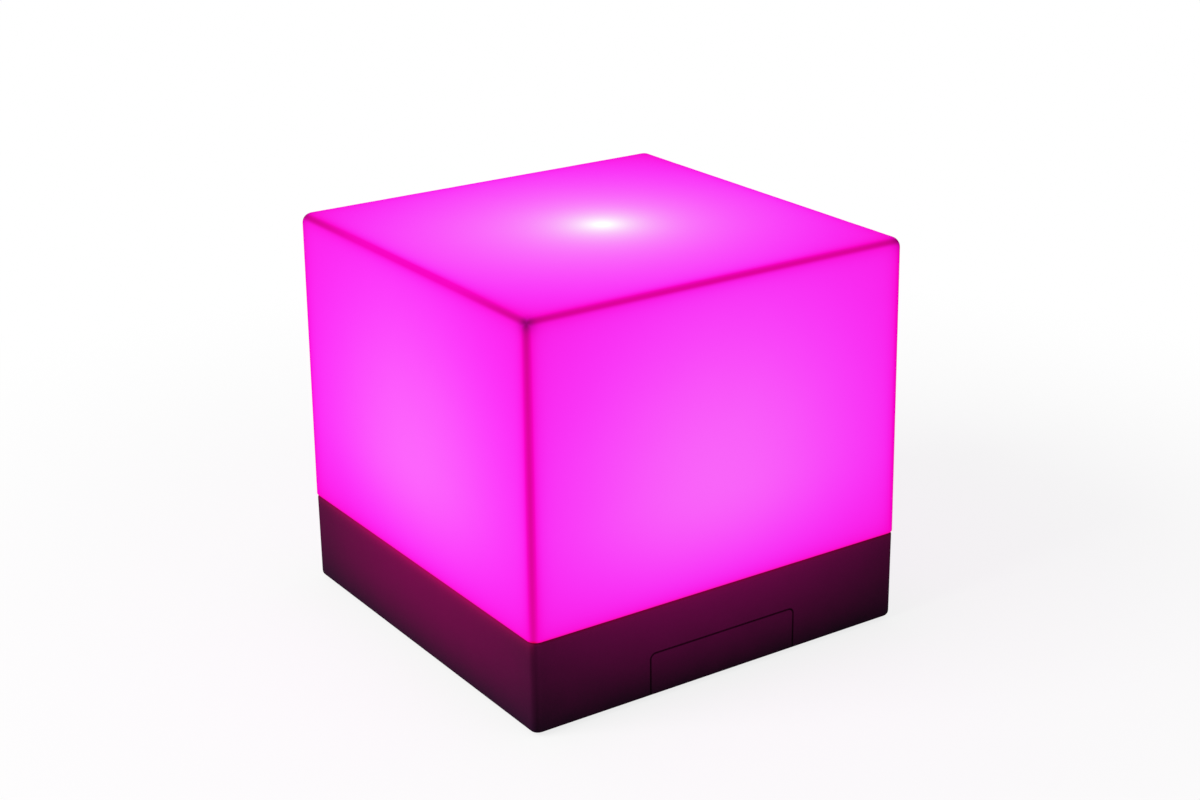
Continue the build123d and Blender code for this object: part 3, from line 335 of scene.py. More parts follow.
@dataclass(frozen=True)
class GlowingOpal(Finish):
    """Opal plastic lit from inside by lamps in the middle of the deck.

    An edge is the width of its dark line, how soon the light comes back, and how much is lost.
    """

    name: str = "opal_shade_lit"
    half: float = 75.0
    lean: float = 0.75
    rim: float = 33.5
    top: float = 140.0
    # Dark magenta in place of the opal's white: a base colour tinted by the shade's own light, as
    # painted glow.
    base: Colour = (0.060, 0.0015, 0.055)
    shadow: float = 0.8
    wall_floor: float = 0.0130
    wall_peak: float = 0.113
    wall_centre: Pair = (-3.0, 71.0)
    wall_spread: Point = (35.5, 19.0, 36.5)
    near_edge: Point = (2.1, 2.4, 1.0)
    far_edge: Point = (2.7, 2.9, 1.0)
    upper_edge: Point = (1.45, 2.3, 1.0)
    lower_edge: Point = (0.0, 4.9, 0.88)
    roof_edge: Point = (2.1, 2.8, 1.0)
    roof_peak: float = 1.10
    roof_centre: Pair = (2.2, -2.0)
    roof_reach: float = 10.2
    haze_peak: float = 0.164
    haze_centre: Pair = (-4.6, -0.6)
    haze_spread: Pair = (44.0, 40.5)
    corner_depth: float = 3.3
    corner_reach: float = 1.44
    corner_least: float = 0.1
    tail_depth: float = 0.22
    tail_reach: float = 14.0
    level: float = 0.91
    hot: float = 0.06
    thick_red: float = 0.22
    thick_blue: float = 0.25
    dim_blue: float = 0.37
    dim_reach: float = 0.014
    rim_blue: float = 0.30
    rim_reach: float = 1.3

    def edge(self, gap: Field, line: Point) -> Field:
        """Share of the light left at a distance from an edge, 1 well inside."""
        dead, reach, depth = line
        return 1.0 - ((gap - dead).most(0.0) * (-1 / reach)).exp() * depth

    def wall_light(self, along: Field, height: Field) -> Field:
        """Light through an upright wall: a hot spot level with the lamps' strongest throw.

        Args:
            along: place along the wall.
            height: height above the ground.

        Returns:
            The light.
        """
        side, below, above = self.wall_spread
        across = (along - self.wall_centre[0]) * (1 / side)
        rise = height - self.wall_centre[1]
        upright = rise.most(0.0) * (1 / above) + rise.least(0.0) * (1 / below)
        spot = ((across * across + upright * upright) * -0.5).exp()
        return spot * self.wall_peak + self.wall_floor

    def roof_light(self, x: Field, y: Field) -> Field:
        """Light through the top: a small bright spot in a wide haze.

        Args:
            x: place along X.
            y: place along Y.

        Returns:
            The light.
        """
        spot = distance((x - self.roof_centre[0], y - self.roof_centre[1]))
        east = (x - self.haze_centre[0]) * (1 / self.haze_spread[0])
        north = (y - self.haze_centre[1]) * (1 / self.haze_spread[1])
        haze = ((east * east + north * north) * -0.5).exp() * self.haze_peak
        return haze + (spot * (-1 / self.roof_reach)).exp() * self.roof_peak

    def light(self, half: Field) -> Field:
        """Light that leaves the shade at each point.

        Args:
            half: half the shade's width at that height.

        Returns:
            The light, 0 in the dark edges and about 1 in the middle of the top.
        """
        graph = self.graph
        x, y, z = graph.axes
        along = y + (x - y) * abs(y).above(abs(x))
        wall = self.wall_light(along, z)
        wall = wall * self.edge(half + along, self.near_edge)
        wall = wall * self.edge(half - along, self.far_edge)
        wall = wall * self.edge(self.top - z, self.upper_edge)
        wall = wall * self.edge(z - self.rim, self.lower_edge)
        roof = self.roof_light(x, y)
        for gap in (half + x, half + y, half - x, half - y):
            roof = roof * self.edge(gap, self.roof_edge)
        on_top = z.smooth(self.top - 2.0, self.top - 0.5)
        flow = 1.0 + graph.noise(16.0) * 0.05 + graph.noise(0.7, 3.0) * 0.03
        return ((wall + (roof - wall) * on_top) * flow).most(0.0)

    def corner(self, gaps: tuple[Field, Field, Field], rounding: Field) -> Field:
        """Shadow in the three-way corners, which runs out along the edges.

        Args:
            gaps: distances from the planes of the sides and the top.
            rounding: 1 on the rounded edges.

        Returns:
            1 away from the corners.
        """
        away = distance(gaps)
        tail = (away * (-1 / self.tail_reach)).exp() * rounding * self.tail_depth
        core = (away * (-1 / self.corner_reach)).exp() * self.corner_depth
        return (1.0 - core - tail).most(self.corner_least)

    def paint(self) -> None:
        """Builds the material's nodes."""
        graph = self.graph
        x, y, z = graph.axes
        half = self.half - (z - self.rim) * (self.lean / (self.top - self.rim))
        light = self.light(half)
        gaps = (side, front, down) = (half - abs(x), half - abs(y), self.top - z)
        rounding = side.least(front).most(side.most(front).least(down)).smooth(2.6, 1.0)
        thick = rounding * (1.0 - front.smooth(8.0, 50.0) * 0.78)
        hot = light.smooth(0.45, 1.0) * self.hot
        red = self.level - thick * self.thick_red + hot
        dim = (light * (-1 / self.dim_reach)).exp() * self.dim_blue
        dim = dim + z.smooth(self.rim + self.rim_reach, self.rim) * self.rim_blue
        blue = (self.level - thick * self.thick_blue - dim + hot).most(0.0)
        grain = graph.noise(0.5, 3.0)
        # Base colour: the painted magenta tint from the shade's own light, varied at random.
        shadow = tuple(c * self.shadow for c in self.base)
        graph.principled({
            "Base Color": (0.5 + graph.noise(9.0)).blend(self.base, shadow),
            "Roughness": 0.74 + grain * 0.12,
            "Normal": graph.bump(grain, 0.012),
            "Emission Color": graph.colour(red, light, blue) * self.corner(gaps, rounding),
            "Emission Strength": 1.0,
            "Specular IOR Level": 0.05,
            "IOR": 1.08,
        })


@dataclass(frozen=True)
class DuskHousing(Finish):
    """Dark plum plastic of the base, with painted light: the shade's glow painted as a lightening
    towards the seam and each face's middle, a painted floor bounce on the ±X faces, painted shade
    at the upright corners and round the door, and a painted glow below the seam.
    """

    name: str = "plum_housing"
    # Ends of a painted gradient that stands in for the shade's light on the base: deep at the
    # foot, bright below the seam. The ±X faces have their own pair, lighter at the foot, as
    # painted floor bounce.
    front_deep: Colour = (0.010, 0.0040, 0.0096)
    front_bright: Colour = (0.150, 0.0040, 0.0680)
    side_deep: Colour = (0.0165, 0.0052, 0.0165)
    side_bright: Colour = (0.122, 0.0030, 0.0500)
    underside: Colour = (0.024, 0.0105, 0.0205)
    # Emission colours of a painted glow: the shade's light falling on the base just below the
    # seam, and on the lip seen through the seam's gap.
    painted_seam_glow: Colour = (0.22, 0.0, 0.040)
    painted_lip_glow: Colour = (0.62, 0.004, 0.22)
    painted_glow_reach: float = 1.6
    foot: float = 1.0
    rise: float = 30.0
    seam: float = 33.0
    half: float = 75.0
    rounding: float = 3.5
    rounding_shade: float = 0.35
    door_shade: float = 0.6
    door_half: float = 29.5
    door_top: float = 16.6
    door_corner: float = 1.8
    door_gap: float = 0.34

    def door_line(self, x: Field, y: Field, z: Field) -> Field:
        """Shadow gathered in the gap round the door's face.

        Args:
            x: place along X.
            y: place along Y.
            z: height.

        Returns:
            1 in the gap, fading to 0 beside it.
        """
        beside = abs(x) - (self.door_half - self.door_corner)
        over = z - (self.door_top - self.door_corner)
        outside = distance((beside.most(0.0), over.most(0.0))) + beside.most(over).least(0.0)
        gap = abs(outside - self.door_corner - self.door_gap / 2)
        return gap.smooth(0.55, 0.20) * y.smooth(-self.half + 0.6, -self.half + 0.3)

    def paint(self) -> None:
        """Builds the material's nodes."""
        graph = self.graph
        x, y, z = graph.axes
        inner, outer = abs(x).least(abs(y)), abs(x).most(abs(y))
        across = inner / self.half
        outside = outer.smooth(self.half - 5.0, self.half - 3.0)
        side = (abs(x) - abs(y)).smooth(-1.0, 1.0) * outside
        # Painted light: the base colour lightens from the foot up and from the corners to each
        # face's middle, standing in for the shade's glow falling on the base. Low on the ±X faces
        # it is lifted further, as painted floor bounce.
        height = ((z - self.foot) / self.rise).most(0.0).least(1.0)
        height = height * (1.0 + side * (1.0 - height))
        mottle = graph.noise(11.0) * 0.10 + graph.noise(0.9, 3.0) * 0.08
        lit = (height * (1.0 - across * across * 0.58) + mottle).most(0.0).least(1.0)
        upright = inner.smooth(self.half - self.rounding + 0.6, self.half - 1.4)
        shade = upright * self.rounding_shade
        shade = shade.most(self.door_line(x, y, z) * self.door_shade)
        # Painted lit and shaded ends of that gradient, with separate ends for the ±X and ±Y faces.
        deep = side.blend(self.front_deep, self.side_deep)
        deep = z.smooth(self.foot + 0.5, self.foot).blend(deep, self.underside)
        bright = side.blend(self.front_bright, self.side_bright)
        # Painted glow below the seam, stronger on the ±X faces and fading towards the corners, and
        # painted glow on the lip above the shoulder.
        painted_seam_glow = ((z - self.seam) * (1 / self.painted_glow_reach)).least(0.0).exp() * outside
        painted_seam_glow = painted_seam_glow * (side * 0.85 + 0.15) * (1.0 - across * across * 0.6)
        painted_lip_glow = z.smooth(self.seam, self.seam + 0.3) * outside
        glow = [painted_seam_glow * seam + painted_lip_glow * edge for seam, edge in zip(self.painted_seam_glow, self.painted_lip_glow)]
        grain = graph.noise(0.35, 3.0)
        rubs = graph.noise(2.2, 4.0, (9.0, 9.0, 0.6)).smooth(0.14, 0.24)
        graph.principled({
            "Base Color": lit.blend(deep, bright) * (1.0 - shade),
            "Roughness": 0.66 + grain * 0.16 - rubs * 0.10,
            "Normal": graph.bump(grain, 0.02),
            "Emission Color": graph.colour(*glow),
            "Emission Strength": 1.0,
            "Specular IOR Level": 0.05,
            "IOR": 1.12,
        })


@dataclass(frozen=True)
class Moulded(Finish):
    """Moulded plastic: eroded grain, faint flow marks and a polish that wears in patches."""

    name: str
    colour: Colour
    roughness: float = 0.46
    grain: float = 0.5
    depth: float = 0.018
    mottle: float = 0.12

    def paint(self) -> None:
        """Builds the material's nodes."""
        graph = self.graph
        grain = graph.noise(self.grain, 3.0)
        flow = graph.noise(6.0, 3.0, (1.0, 1.0, 2.5))
        worn = graph.noise(14.0, 4.0).smooth(0.02, 0.22)
        dark = tuple(c * (1 - 2 * self.mottle) for c in self.colour)
        graph.principled({
            "Base Color": (flow + 0.5).blend(dark, self.colour),
            "Roughness": self.roughness + grain * 0.14 - worn * 0.10,
            "Normal": graph.bump(grain, self.depth),
        })


@dataclass(frozen=True)
class Plated(Finish):
    """Plated steel: fine drawn lines, dull blotches in the plating and rubbed bright spots."""

    name: str
    colour: Colour
    roughness: float = 0.30
    along: Point = (1.0, 1.0, 8.0)
    line: float = 0.12

    def paint(self) -> None:
        """Builds the material's nodes."""
        graph = self.graph
        lines = graph.noise(self.line, 2.0, self.along)
        blotch = graph.noise(1.8, 4.0)
        dull = tuple(c * 0.62 for c in self.colour)
        graph.principled({
            "Base Color": (blotch * 1.4 + 0.6).blend(dull, self.colour),
            "Metallic": 1.0,
            "Roughness": self.roughness + blotch * 0.25 + lines * 0.15,
            "Normal": graph.bump(lines, 0.006),
        })


@dataclass(frozen=True)
class Rubber(Finish):
    """Soft black rubber with a matt bloom and floor dust on its foot."""

    name: str = "foot_rubber"

    def paint(self) -> None:
        """Builds the material's nodes."""
        graph = self.graph
        z = graph.axes[2]
        bloom = graph.noise(1.6, 4.0)
        dust = z.smooth(0.5, 0.0) * (bloom + 0.45).smooth(0.35, 0.75)
        rubber = (bloom + 0.5).blend((0.016, 0.015, 0.016), (0.032, 0.030, 0.031))
        graph.principled({
            "Base Color": (dust * 0.22).blend(rubber, (0.16, 0.145, 0.135)),
            "Roughness": 0.78 + bloom * 0.2,
            "Normal": graph.bump(graph.noise(0.3, 3.0), 0.03),
            "Specular IOR Level": 0.35,
        })


@dataclass(frozen=True)
class CellJacket(Finish):
    """Printed steel jacket of an AA cell, with plain steel at the two ends."""

    front: float
    rear: float
    pitch: float = 16.0
    terminal: float = 2.2
    name: str = "cell_jacket"

    def paint(self) -> None:
        """Builds the material's nodes."""
        graph = self.graph
        x, y, z = graph.axes
        middle = abs(x).smooth(self.pitch / 2 + 0.2, self.pitch / 2 - 0.2)
        centre = (self.front + self.rear) / 2
        from_top = (y - self.front) * middle + (self.rear - y) * (1.0 - middle)
        sleeve = (self.rear - self.front) / 2 - self.terminal
        ends = abs(y - centre).smooth(sleeve - 0.1, sleeve + 0.1)
        band = from_top.smooth(16.1, 15.9)
        line = band * from_top.smooth(14.5, 14.7)
        rub = graph.noise(3.0, 4.0, (1.0, 5.0, 1.0)).smooth(0.10, 0.24)
        jacket = band.blend((0.018, 0.020, 0.026), (0.42, 0.20, 0.045))
        jacket = line.blend(jacket, (0.60, 0.60, 0.58))
        jacket = (rub * 0.25).blend(jacket, (0.35, 0.35, 0.34))
        fine = graph.noise(0.25, 2.0)
        graph.principled({
            "Base Color": ends.blend(jacket, (0.56, 0.56, 0.55)),
            "Metallic": 0.35 + ends * 0.65,
            "Roughness": 0.27 + rub * 0.25 + fine * 0.08,
            "Normal": graph.bump(fine, 0.006),
        })


@dataclass(frozen=True)
class Board(Finish):
    """Printed board: mask over copper tracks, tinned vias and plain sawn edges."""

    name: str
    mask: Colour
    track: Colour
    edge_colour: Colour
    bottom: float
    top: float
    pitch: float = 2.54
    skin: float = 0.08

    def paint(self) -> None:
        """Builds the material's nodes."""
        graph = self.graph
        x, y, z = graph.axes
        bend = graph.noise(9.0, 0.0) * 6.0
        lane = abs((x + bend).repeat(self.pitch) - self.pitch / 2)
        cross = abs((y - bend).repeat(2 * self.pitch) - self.pitch)
        choose = graph.noise(13.0, 0.0).smooth(-0.03, 0.03)
        tracks = lane.smooth(0.42, 0.34) * choose + cross.smooth(0.42, 0.34) * (1.0 - choose)
        dots = distance((lane, abs(y.repeat(self.pitch) - self.pitch / 2)))
        vias = dots.smooth(0.34, 0.28) * graph.noise(3.4, 0.0).smooth(0.10, 0.13)
        low, high = z - (self.bottom + self.skin), self.top - self.skin - z
        sawn = low.smooth(0.0, 0.02) * high.smooth(0.0, 0.02)
        weave = graph.noise(0.5, 2.0)
        cover = tracks.blend(self.mask, self.track)
        cover = vias.blend(cover, (0.62, 0.60, 0.55))
        graph.principled({
            "Base Color": sawn.blend(cover, self.edge_colour),
            "Roughness": 0.30 + weave * 0.12 + sawn * 0.40 - vias * 0.05,
            "Metallic": vias * (1.0 - sawn),
            "Normal": graph.bump(tracks * 0.8 + weave * 0.2 + vias, 0.035),
        })


@dataclass(frozen=True)
class ChipBody(Finish):
    """Black moulded package with tinned legs low beside the body and a dot for its first leg."""

    name: str
    body: Colour
    foot: float
    legs: float
    beyond: float
    middle: float

    def paint(self) -> None:
        """Builds the material's nodes."""
        graph = self.graph
        x, y, z = graph.axes
        low = z.smooth(self.foot + self.legs + 0.03, self.foot + self.legs - 0.03)
        legs = low * abs(y - self.middle).smooth(self.beyond - 0.03, self.beyond + 0.03)
        grain = graph.noise(0.18, 3.0)
        spot = distance((x - 5.1, y - self.middle + 0.9)).smooth(0.42, 0.36)
        body = (grain + 0.5).blend(self.body, tuple(c * 1.8 for c in self.body))
        graph.principled({
            "Base Color": legs.blend(body, (0.66, 0.65, 0.62)),
            "Metallic": legs,
            "Roughness": 0.62 - legs * 0.30 + grain * 0.10 - spot * 0.30,
            "Normal": graph.bump(grain, 0.010),
        })


@dataclass(frozen=True)
class EndCaps(Finish):
    """Small ceramic part with a tinned cap at each end."""

    middle: float
    pitch: float
    half: float
    cap: float
    name: str = "resistor_ceramic"

    def paint(self) -> None:
        """Builds the material's nodes."""
        graph = self.graph
        x = graph.axes[0]
        along = abs((x - self.middle + self.pitch / 2).repeat(self.pitch) - self.pitch / 2)
        caps = along.smooth(self.half - self.cap - 0.03, self.half - self.cap + 0.03)
        grain = graph.noise(0.12, 2.0)
        graph.principled({
            "Base Color": caps.blend((0.012, 0.013, 0.016), (0.70, 0.69, 0.66)),
            "Metallic": caps,
            "Roughness": 0.34 + grain * 0.12,
            "Normal": graph.bump(grain, 0.006),
        })


@dataclass(frozen=True)
class CanSleeve(Finish):
    """Dark printed sleeve round a capacitor, with a pale stripe and a bare aluminium top."""

    centre: Pair
    top: float
    name: str = "capacitor_sleeve"

    def paint(self) -> None:
        """Builds the material's nodes."""
        graph = self.graph
        x, y, z = graph.axes
        stripe = (x - self.centre[0]).smooth(-1.75, -1.85)
        bare = z.smooth(self.top - 0.45, self.top - 0.38)
        cross = abs(x - self.centre[0]).least(abs(y - self.centre[1])).smooth(0.16, 0.10) * bare
        grain = graph.noise(0.3, 2.0)
        sleeve = stripe.blend((0.020, 0.030, 0.075), (0.55, 0.56, 0.60))
        graph.principled({
            "Base Color": bare.blend(sleeve, (0.72, 0.72, 0.73)),
            "Metallic": bare,
            "Roughness": 0.36 + grain * 0.12 - bare * 0.06,
            "Normal": graph.bump(grain * 0.3 - cross * 2.0, 0.05),
        })


@dataclass(frozen=True)
class LampPackage(Finish):
    """White lamp package with tinned pads at its foot and a round cup that glows."""

    ring: float
    count: int
    window: float
    bottom: float
    glow: Colour = (0.90, 0.10, 0.85)
    name: str = "lamp_package"

    def paint(self) -> None:
        """Builds the material's nodes."""
        graph = self.graph
        x, y, z = graph.axes
        cups = []
        for turn in turns(self.count):
            away = distance((x - self.ring * math.cos(turn), y - self.ring * math.sin(turn)))
            cups.append(away.smooth(self.window + 0.02, self.window - 0.05))
        lit = reduce(Field.most, cups)
        pads = z.smooth(self.bottom + 0.55, self.bottom + 0.45)
        grain = graph.noise(0.2, 2.0)
        shell = (grain + 0.5).blend((0.78, 0.77, 0.72), (0.88, 0.88, 0.84))
        graph.principled({
            "Base Color": pads.blend(shell, (0.72, 0.70, 0.62)),
            "Metallic": pads,
            "Roughness": 0.38 + grain * 0.1,
            "Normal": graph.bump(grain, 0.006),
            "Emission Color": lit.blend(BLACK, self.glow),
            "Emission Strength": 1.0,
        })


@dataclass(frozen=True)
class WireJacket(Finish):
    """Soft insulation: slightly uneven sheen with scuffs along the run."""

    name: str
    colour: Colour

    def paint(self) -> None:
        """Builds the material's nodes."""
        graph = self.graph
        uneven = graph.noise(1.4, 4.0)
        scuff = graph.noise(0.5, 4.0).smooth(0.16, 0.26)
        dark = tuple(c * 0.7 for c in self.colour)
        graph.principled({
            "Base Color": (uneven + 0.5).blend(dark, self.colour),
            "Roughness": 0.36 + scuff * 0.30 + uneven * 0.12,
            "Normal": graph.bump(uneven, 0.02),
        })


@dataclass(frozen=True)
class ClearResin(Finish):
    """Clear potting in a lamp's cup, a little uneven on top."""

    name: str = "lamp_resin"

    def paint(self) -> None:
        """Builds the material's nodes."""
        graph = self.graph
        ripple = graph.noise(0.8, 1.0)
        graph.principled({
            "Base Color": (0.98, 0.93, 0.95),
            "Roughness": 0.06 + abs(ripple) * 0.06,
            "Normal": graph.bump(ripple, 0.02),
            "Transmission Weight": 1.0,
            "IOR": 1.41,
        })


@dataclass(frozen=True)
class LitDie(Finish):
    """Light-emitting die, bright with a darker bond pad."""

    name: str
    glow: Colour

    def paint(self) -> None:
        """Builds the material's nodes."""
        graph = self.graph
        patch = graph.noise(0.12, 1.0).smooth(-0.1, 0.1)
        dark = tuple(c * 0.6 for c in self.glow)
        graph.principled({
            "Base Color": (0.30, 0.28, 0.22),
            "Roughness": 0.25 + patch * 0.1,
            "Emission Color": patch.blend(dark, self.glow),
            "Emission Strength": 1.0,
        })


# ---- mesh helpers


def mesh_of(name: str, build: Builder) -> bpy.types.Object:
    """Makes an object from bmesh code.

    Args:
        name: the piece's name.
        build: fills an empty bmesh.

    Returns:
        The object, smooth shaded, with its normals outward.
    """
    shape = bmesh.new()
    build(shape)
    bmesh.ops.recalc_face_normals(shape, faces=shape.faces)
    mesh = bpy.data.meshes.new(name)
    shape.to_mesh(mesh)
    shape.free()
    for face in mesh.polygons:
        face.use_smooth = True
    made = bpy.data.objects.new(name, mesh)
    bpy.context.scene.collection.objects.link(made)
    return made


def join_rings(shape: Shape, rings: list[list[bmesh.types.BMVert]], steps: int) -> None:
    """Joins each ring of corners to the next, where a ring may be a single corner.

    Args:
        shape: what the faces are added to.
        rings: the rings, in order.
        steps: corners of a full ring.
    """
    for low, high in zip(rings, rings[1:]):
        for i in range(steps):
            j = (i + 1) % steps
            spots = ((low, i), (low, j), (high, j), (high, i))
            corners = dict.fromkeys(ring[k % len(ring)] for ring, k in spots)
            if len(corners) > 2:
                shape.faces.new(list(corners))


def add_lathe(shape: Shape, profile: Sequence[Pair], place: Matrix, steps: int) -> None:
    """Adds a closed round form.

    Args:
        shape: what it is added to.
        profile: radius and height of each ring, from the lower middle to the upper middle.
        place: where its axis stands.
        steps: corners round the axis.
    """
    rings = []
    for radius, height in profile:
        angles = turns(steps)[: 1 if radius == 0 else steps]
        spots = [Vector((radius * math.cos(t), radius * math.sin(t), height)) for t in angles]
        rings.append([shape.verts.new(place @ spot) for spot in spots])
    join_rings(shape, rings, steps)


def add_tube(shape: Shape, line: Sequence[Vector], radius: float, sides: int = 12) -> None:
    """Adds a round bar along a line, closed at both ends.

    Args:
        shape: what it is added to.
        line: points of the centre line.
        radius: the bar's radius.
        sides: corners round the bar.
    """
    rings = []
    normal = None
    for i, spot in enumerate(line):
        heading = (line[min(i + 1, len(line) - 1)] - line[max(i - 1, 0)]).normalized()
        normal = heading.orthogonal() if normal is None else normal - heading * normal.dot(heading)
        normal.normalize()
        other = heading.cross(normal)
        arms = [(normal * math.cos(t) + other * math.sin(t)) * radius for t in turns(sides)]
        rings.append([shape.verts.new(spot + arm) for arm in arms])
    join_rings(shape, rings, sides)
    shape.faces.new(rings[0])
    shape.faces.new(rings[-1])


def add_slab(
    shape: Shape, outline: Sequence[Pair], base: float, rise: float, edge: float
) -> None:
    """Adds a low raised form with sloped edges, such as a moulded mark.

    Args:
        shape: what it is added to.
        outline: its foot, as points in the XY plane.
        base: height of the foot.
        rise: how far it stands out, negative for downward.
        edge: how far the top draws in from the foot.
    """
    middle = sum((Vector(p) for p in outline), Vector((0, 0))) / len(outline)
    levels = ((0.0, 0.0), (0.7 * rise, 0.35 * edge), (rise, edge))
    rings = []
    for height, inset in levels:
        ring = []
        for point in outline:
            out = Vector(point) - middle
            spot = middle + out * (1 - inset / max(out.length, edge * 2))
            ring.append(shape.verts.new((spot.x, spot.y, base + height)))
        rings.append(ring)
    join_rings(shape, rings, len(outline))
    shape.faces.new(rings[0])
    shape.faces.new(rings[-1])


def bar(centre: Pair, length: float, width: float, turn: float) -> list[Pair]:
    """Rounded bar's outline.

    Args:
        centre: its middle.
        length: its length.
        width: its width.
        turn: the angle of its length to X, in radians.

    Returns:
        Its points.
    """
    points = []
    cos, sin = math.cos(turn), math.sin(turn)
    for end, start in ((1, 0.0), (-1, math.pi)):
        for i in range(7):
            angle = math.pi * (i / 6 - 0.5) + start
            x = end * (length - width) / 2 + math.cos(angle) * width / 2
            y = math.sin(angle) * width / 2
            points.append((centre[0] + x * cos - y * sin, centre[1] + x * sin + y * cos))
    return points


def add_piece(
    name: str, build: Builder, finish: Finish, body: Body = Body.BASE
) -> bpy.types.Object:
    """Makes a piece, dresses it, sets it on its body and reports it.

    Args:
        name: the piece's name.
        build: fills an empty bmesh.
        finish: its finish.
        body: the body that carries it.

    Returns:
        The piece.
    """
    piece = mesh_of(name, build)
    piece.data.materials.append(finish.material)
    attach(piece, body.value)
    LOG.info("made %s: %d faces, on %s", piece.name, len(piece.data.polygons), body.value)
    return piece


def dress(finish: Finish, *nodes: str) -> None:
    """Gives CAD nodes their finish.

    Args:
        finish: the finish.
        nodes: the nodes' names.
    """
    for node in nodes:
        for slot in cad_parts[node].material_slots:
            slot.material = finish.material
        LOG.info("dressed %s in %s", node, finish.name)


# ---- sub-assemblies


@dataclass
class PressShade:
    """The opal shade on its carrier, with the posts' washers, screws and springs."""

    corner: float = 64.0 * MM
    spring_floor: float = 20.0 * MM
    spring_height: float = 16.0 * MM
    travel: float = 0.35 * MM
    coil_radius: float = 3.35 * MM
    wire: float = 0.35 * MM
    turns: int = 8
    steps: int = 28

    def build(self) -> None:
        """Makes the wound return springs in place of the CAD ones; the real springs shorten as the
        shade goes down.
        """
        steel = Plated("spring_steel", (0.52, 0.51, 0.49), 0.28, (4.0, 4.0, 1.0))
        springs = add_piece("return_springs_wound", self._springs, steel)
        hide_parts("return_springs")
        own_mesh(springs)

    def _springs(self, shape: Shape) -> None:
        """Adds one coil round each post."""
        for x in (-self.corner, self.corner):
            for y in (-self.corner, self.corner):
                add_tube(shape, self._line(Vector((x, y, self.spring_floor))), self.wire)

    def _line(self, foot: Vector) -> list[Vector]:
        """Centre line of a coil with a closed turn at each end.

        Args:
            foot: middle of the spring's foot.

        Returns:
            Its points.
        """
        closed = 2.1 * self.wire
        free = self.spring_height - 2 * self.wire - 2 * closed
        points = []
        for i in range(self.turns * self.steps + 1):
            turn = i / self.steps
            middle = min(max((turn - 1) / (self.turns - 2), 0.0), 1.0)
            ends = min(turn, 1.0) + max(turn - self.turns + 1, 0.0)
            height = self.wire + closed * ends + free * middle
            angle = 2 * math.pi * turn
            arm = Vector((math.cos(angle), math.sin(angle), 0)) * self.coil_radius
            points.append(foot + arm + Vector((0, 0, height)))
        return points

    def dress(self) -> None:
        """Finishes the shade, what moves with it, and every screw."""
        dress(GlowingOpal(), "diffuser_shade")
        dress(Moulded("carrier_white", (0.84, 0.83, 0.82), 0.48), "shade_carrier")
        dress(Plated("washer_zinc", (0.62, 0.62, 0.60), 0.34, (6.0, 1.0, 1.0)), "carrier_washers")
        zinc = Plated("zinc_bright", (0.64, 0.64, 0.62))
        dress(zinc, "carrier_screws", "deck_screws", "battery_box_screws")
        dress(zinc, "led_board_screws", "control_board_screws", "power_switch_screws")


@dataclass
class Base:
    """The dark base, its door, its feet and the marks moulded in its underside."""

    underside: float = 1.0 * MM
    mark_height: float = 0.35 * MM
    switch_y: float = 40.0 * MM
    mark_x: float = 12.4 * MM
    stroke: Pair = (3.4 * MM, 0.55 * MM)
    ring_radius: float = 1.45 * MM
    ring_wire: float = 0.24 * MM
    arrow_y: float = -42.0 * MM
    arrow_half: float = 4.5 * MM
    arrow_reach: float = 4.0 * MM

    def build(self) -> None:
        """Makes the marks beside the power switch and the arrow on the door."""
        # The marks are the housing's plum plastic; their lighter colour is a painted highlight,
        # standing in for light catching their raised edges.
        painted_highlight_marks = Moulded("mark_plum", (0.085, 0.042, 0.074), 0.40, 0.3)
        add_piece("switch_marks", self._switch_marks, painted_highlight_marks)
        add_piece("door_arrow", self._arrow, painted_highlight_marks, Body.DOOR)

    def _switch_marks(self, shape: Shape) -> None:
        """Adds a bar for on and a ring for off."""
        on = bar((self.mark_x, self.switch_y), *self.stroke, math.pi / 2)
        add_slab(shape, on, self.underside, -self.mark_height, 0.12 * MM)
        line = []
        for i in range(33):
            angle = 2 * math.pi * i / 32
            spot = Vector((math.cos(angle), math.sin(angle), 0)) * self.ring_radius
            line.append(spot + Vector((-self.mark_x, self.switch_y, self.underside)))
        add_tube(shape, line, self.ring_wire, 8)

    def _arrow(self, shape: Shape) -> None:
        """Adds an arrow head that points the way the door slides."""
        back, tip = self.arrow_y + self.arrow_reach, self.arrow_y - self.arrow_reach
        outline = [(-self.arrow_half, back), (self.arrow_half, back), (0, tip)]
        add_slab(shape, outline, self.underside, -self.mark_height, 0.3 * MM)

    def dress(self) -> None:
        """Finishes the base, the door, the deck and the feet."""
        dress(DuskHousing(), "base_housing", "battery_door")
        dress(Moulded("deck_white", (0.86, 0.85, 0.85), 0.40), "reflector_deck")
        dress(Rubber(), "rubber_feet")


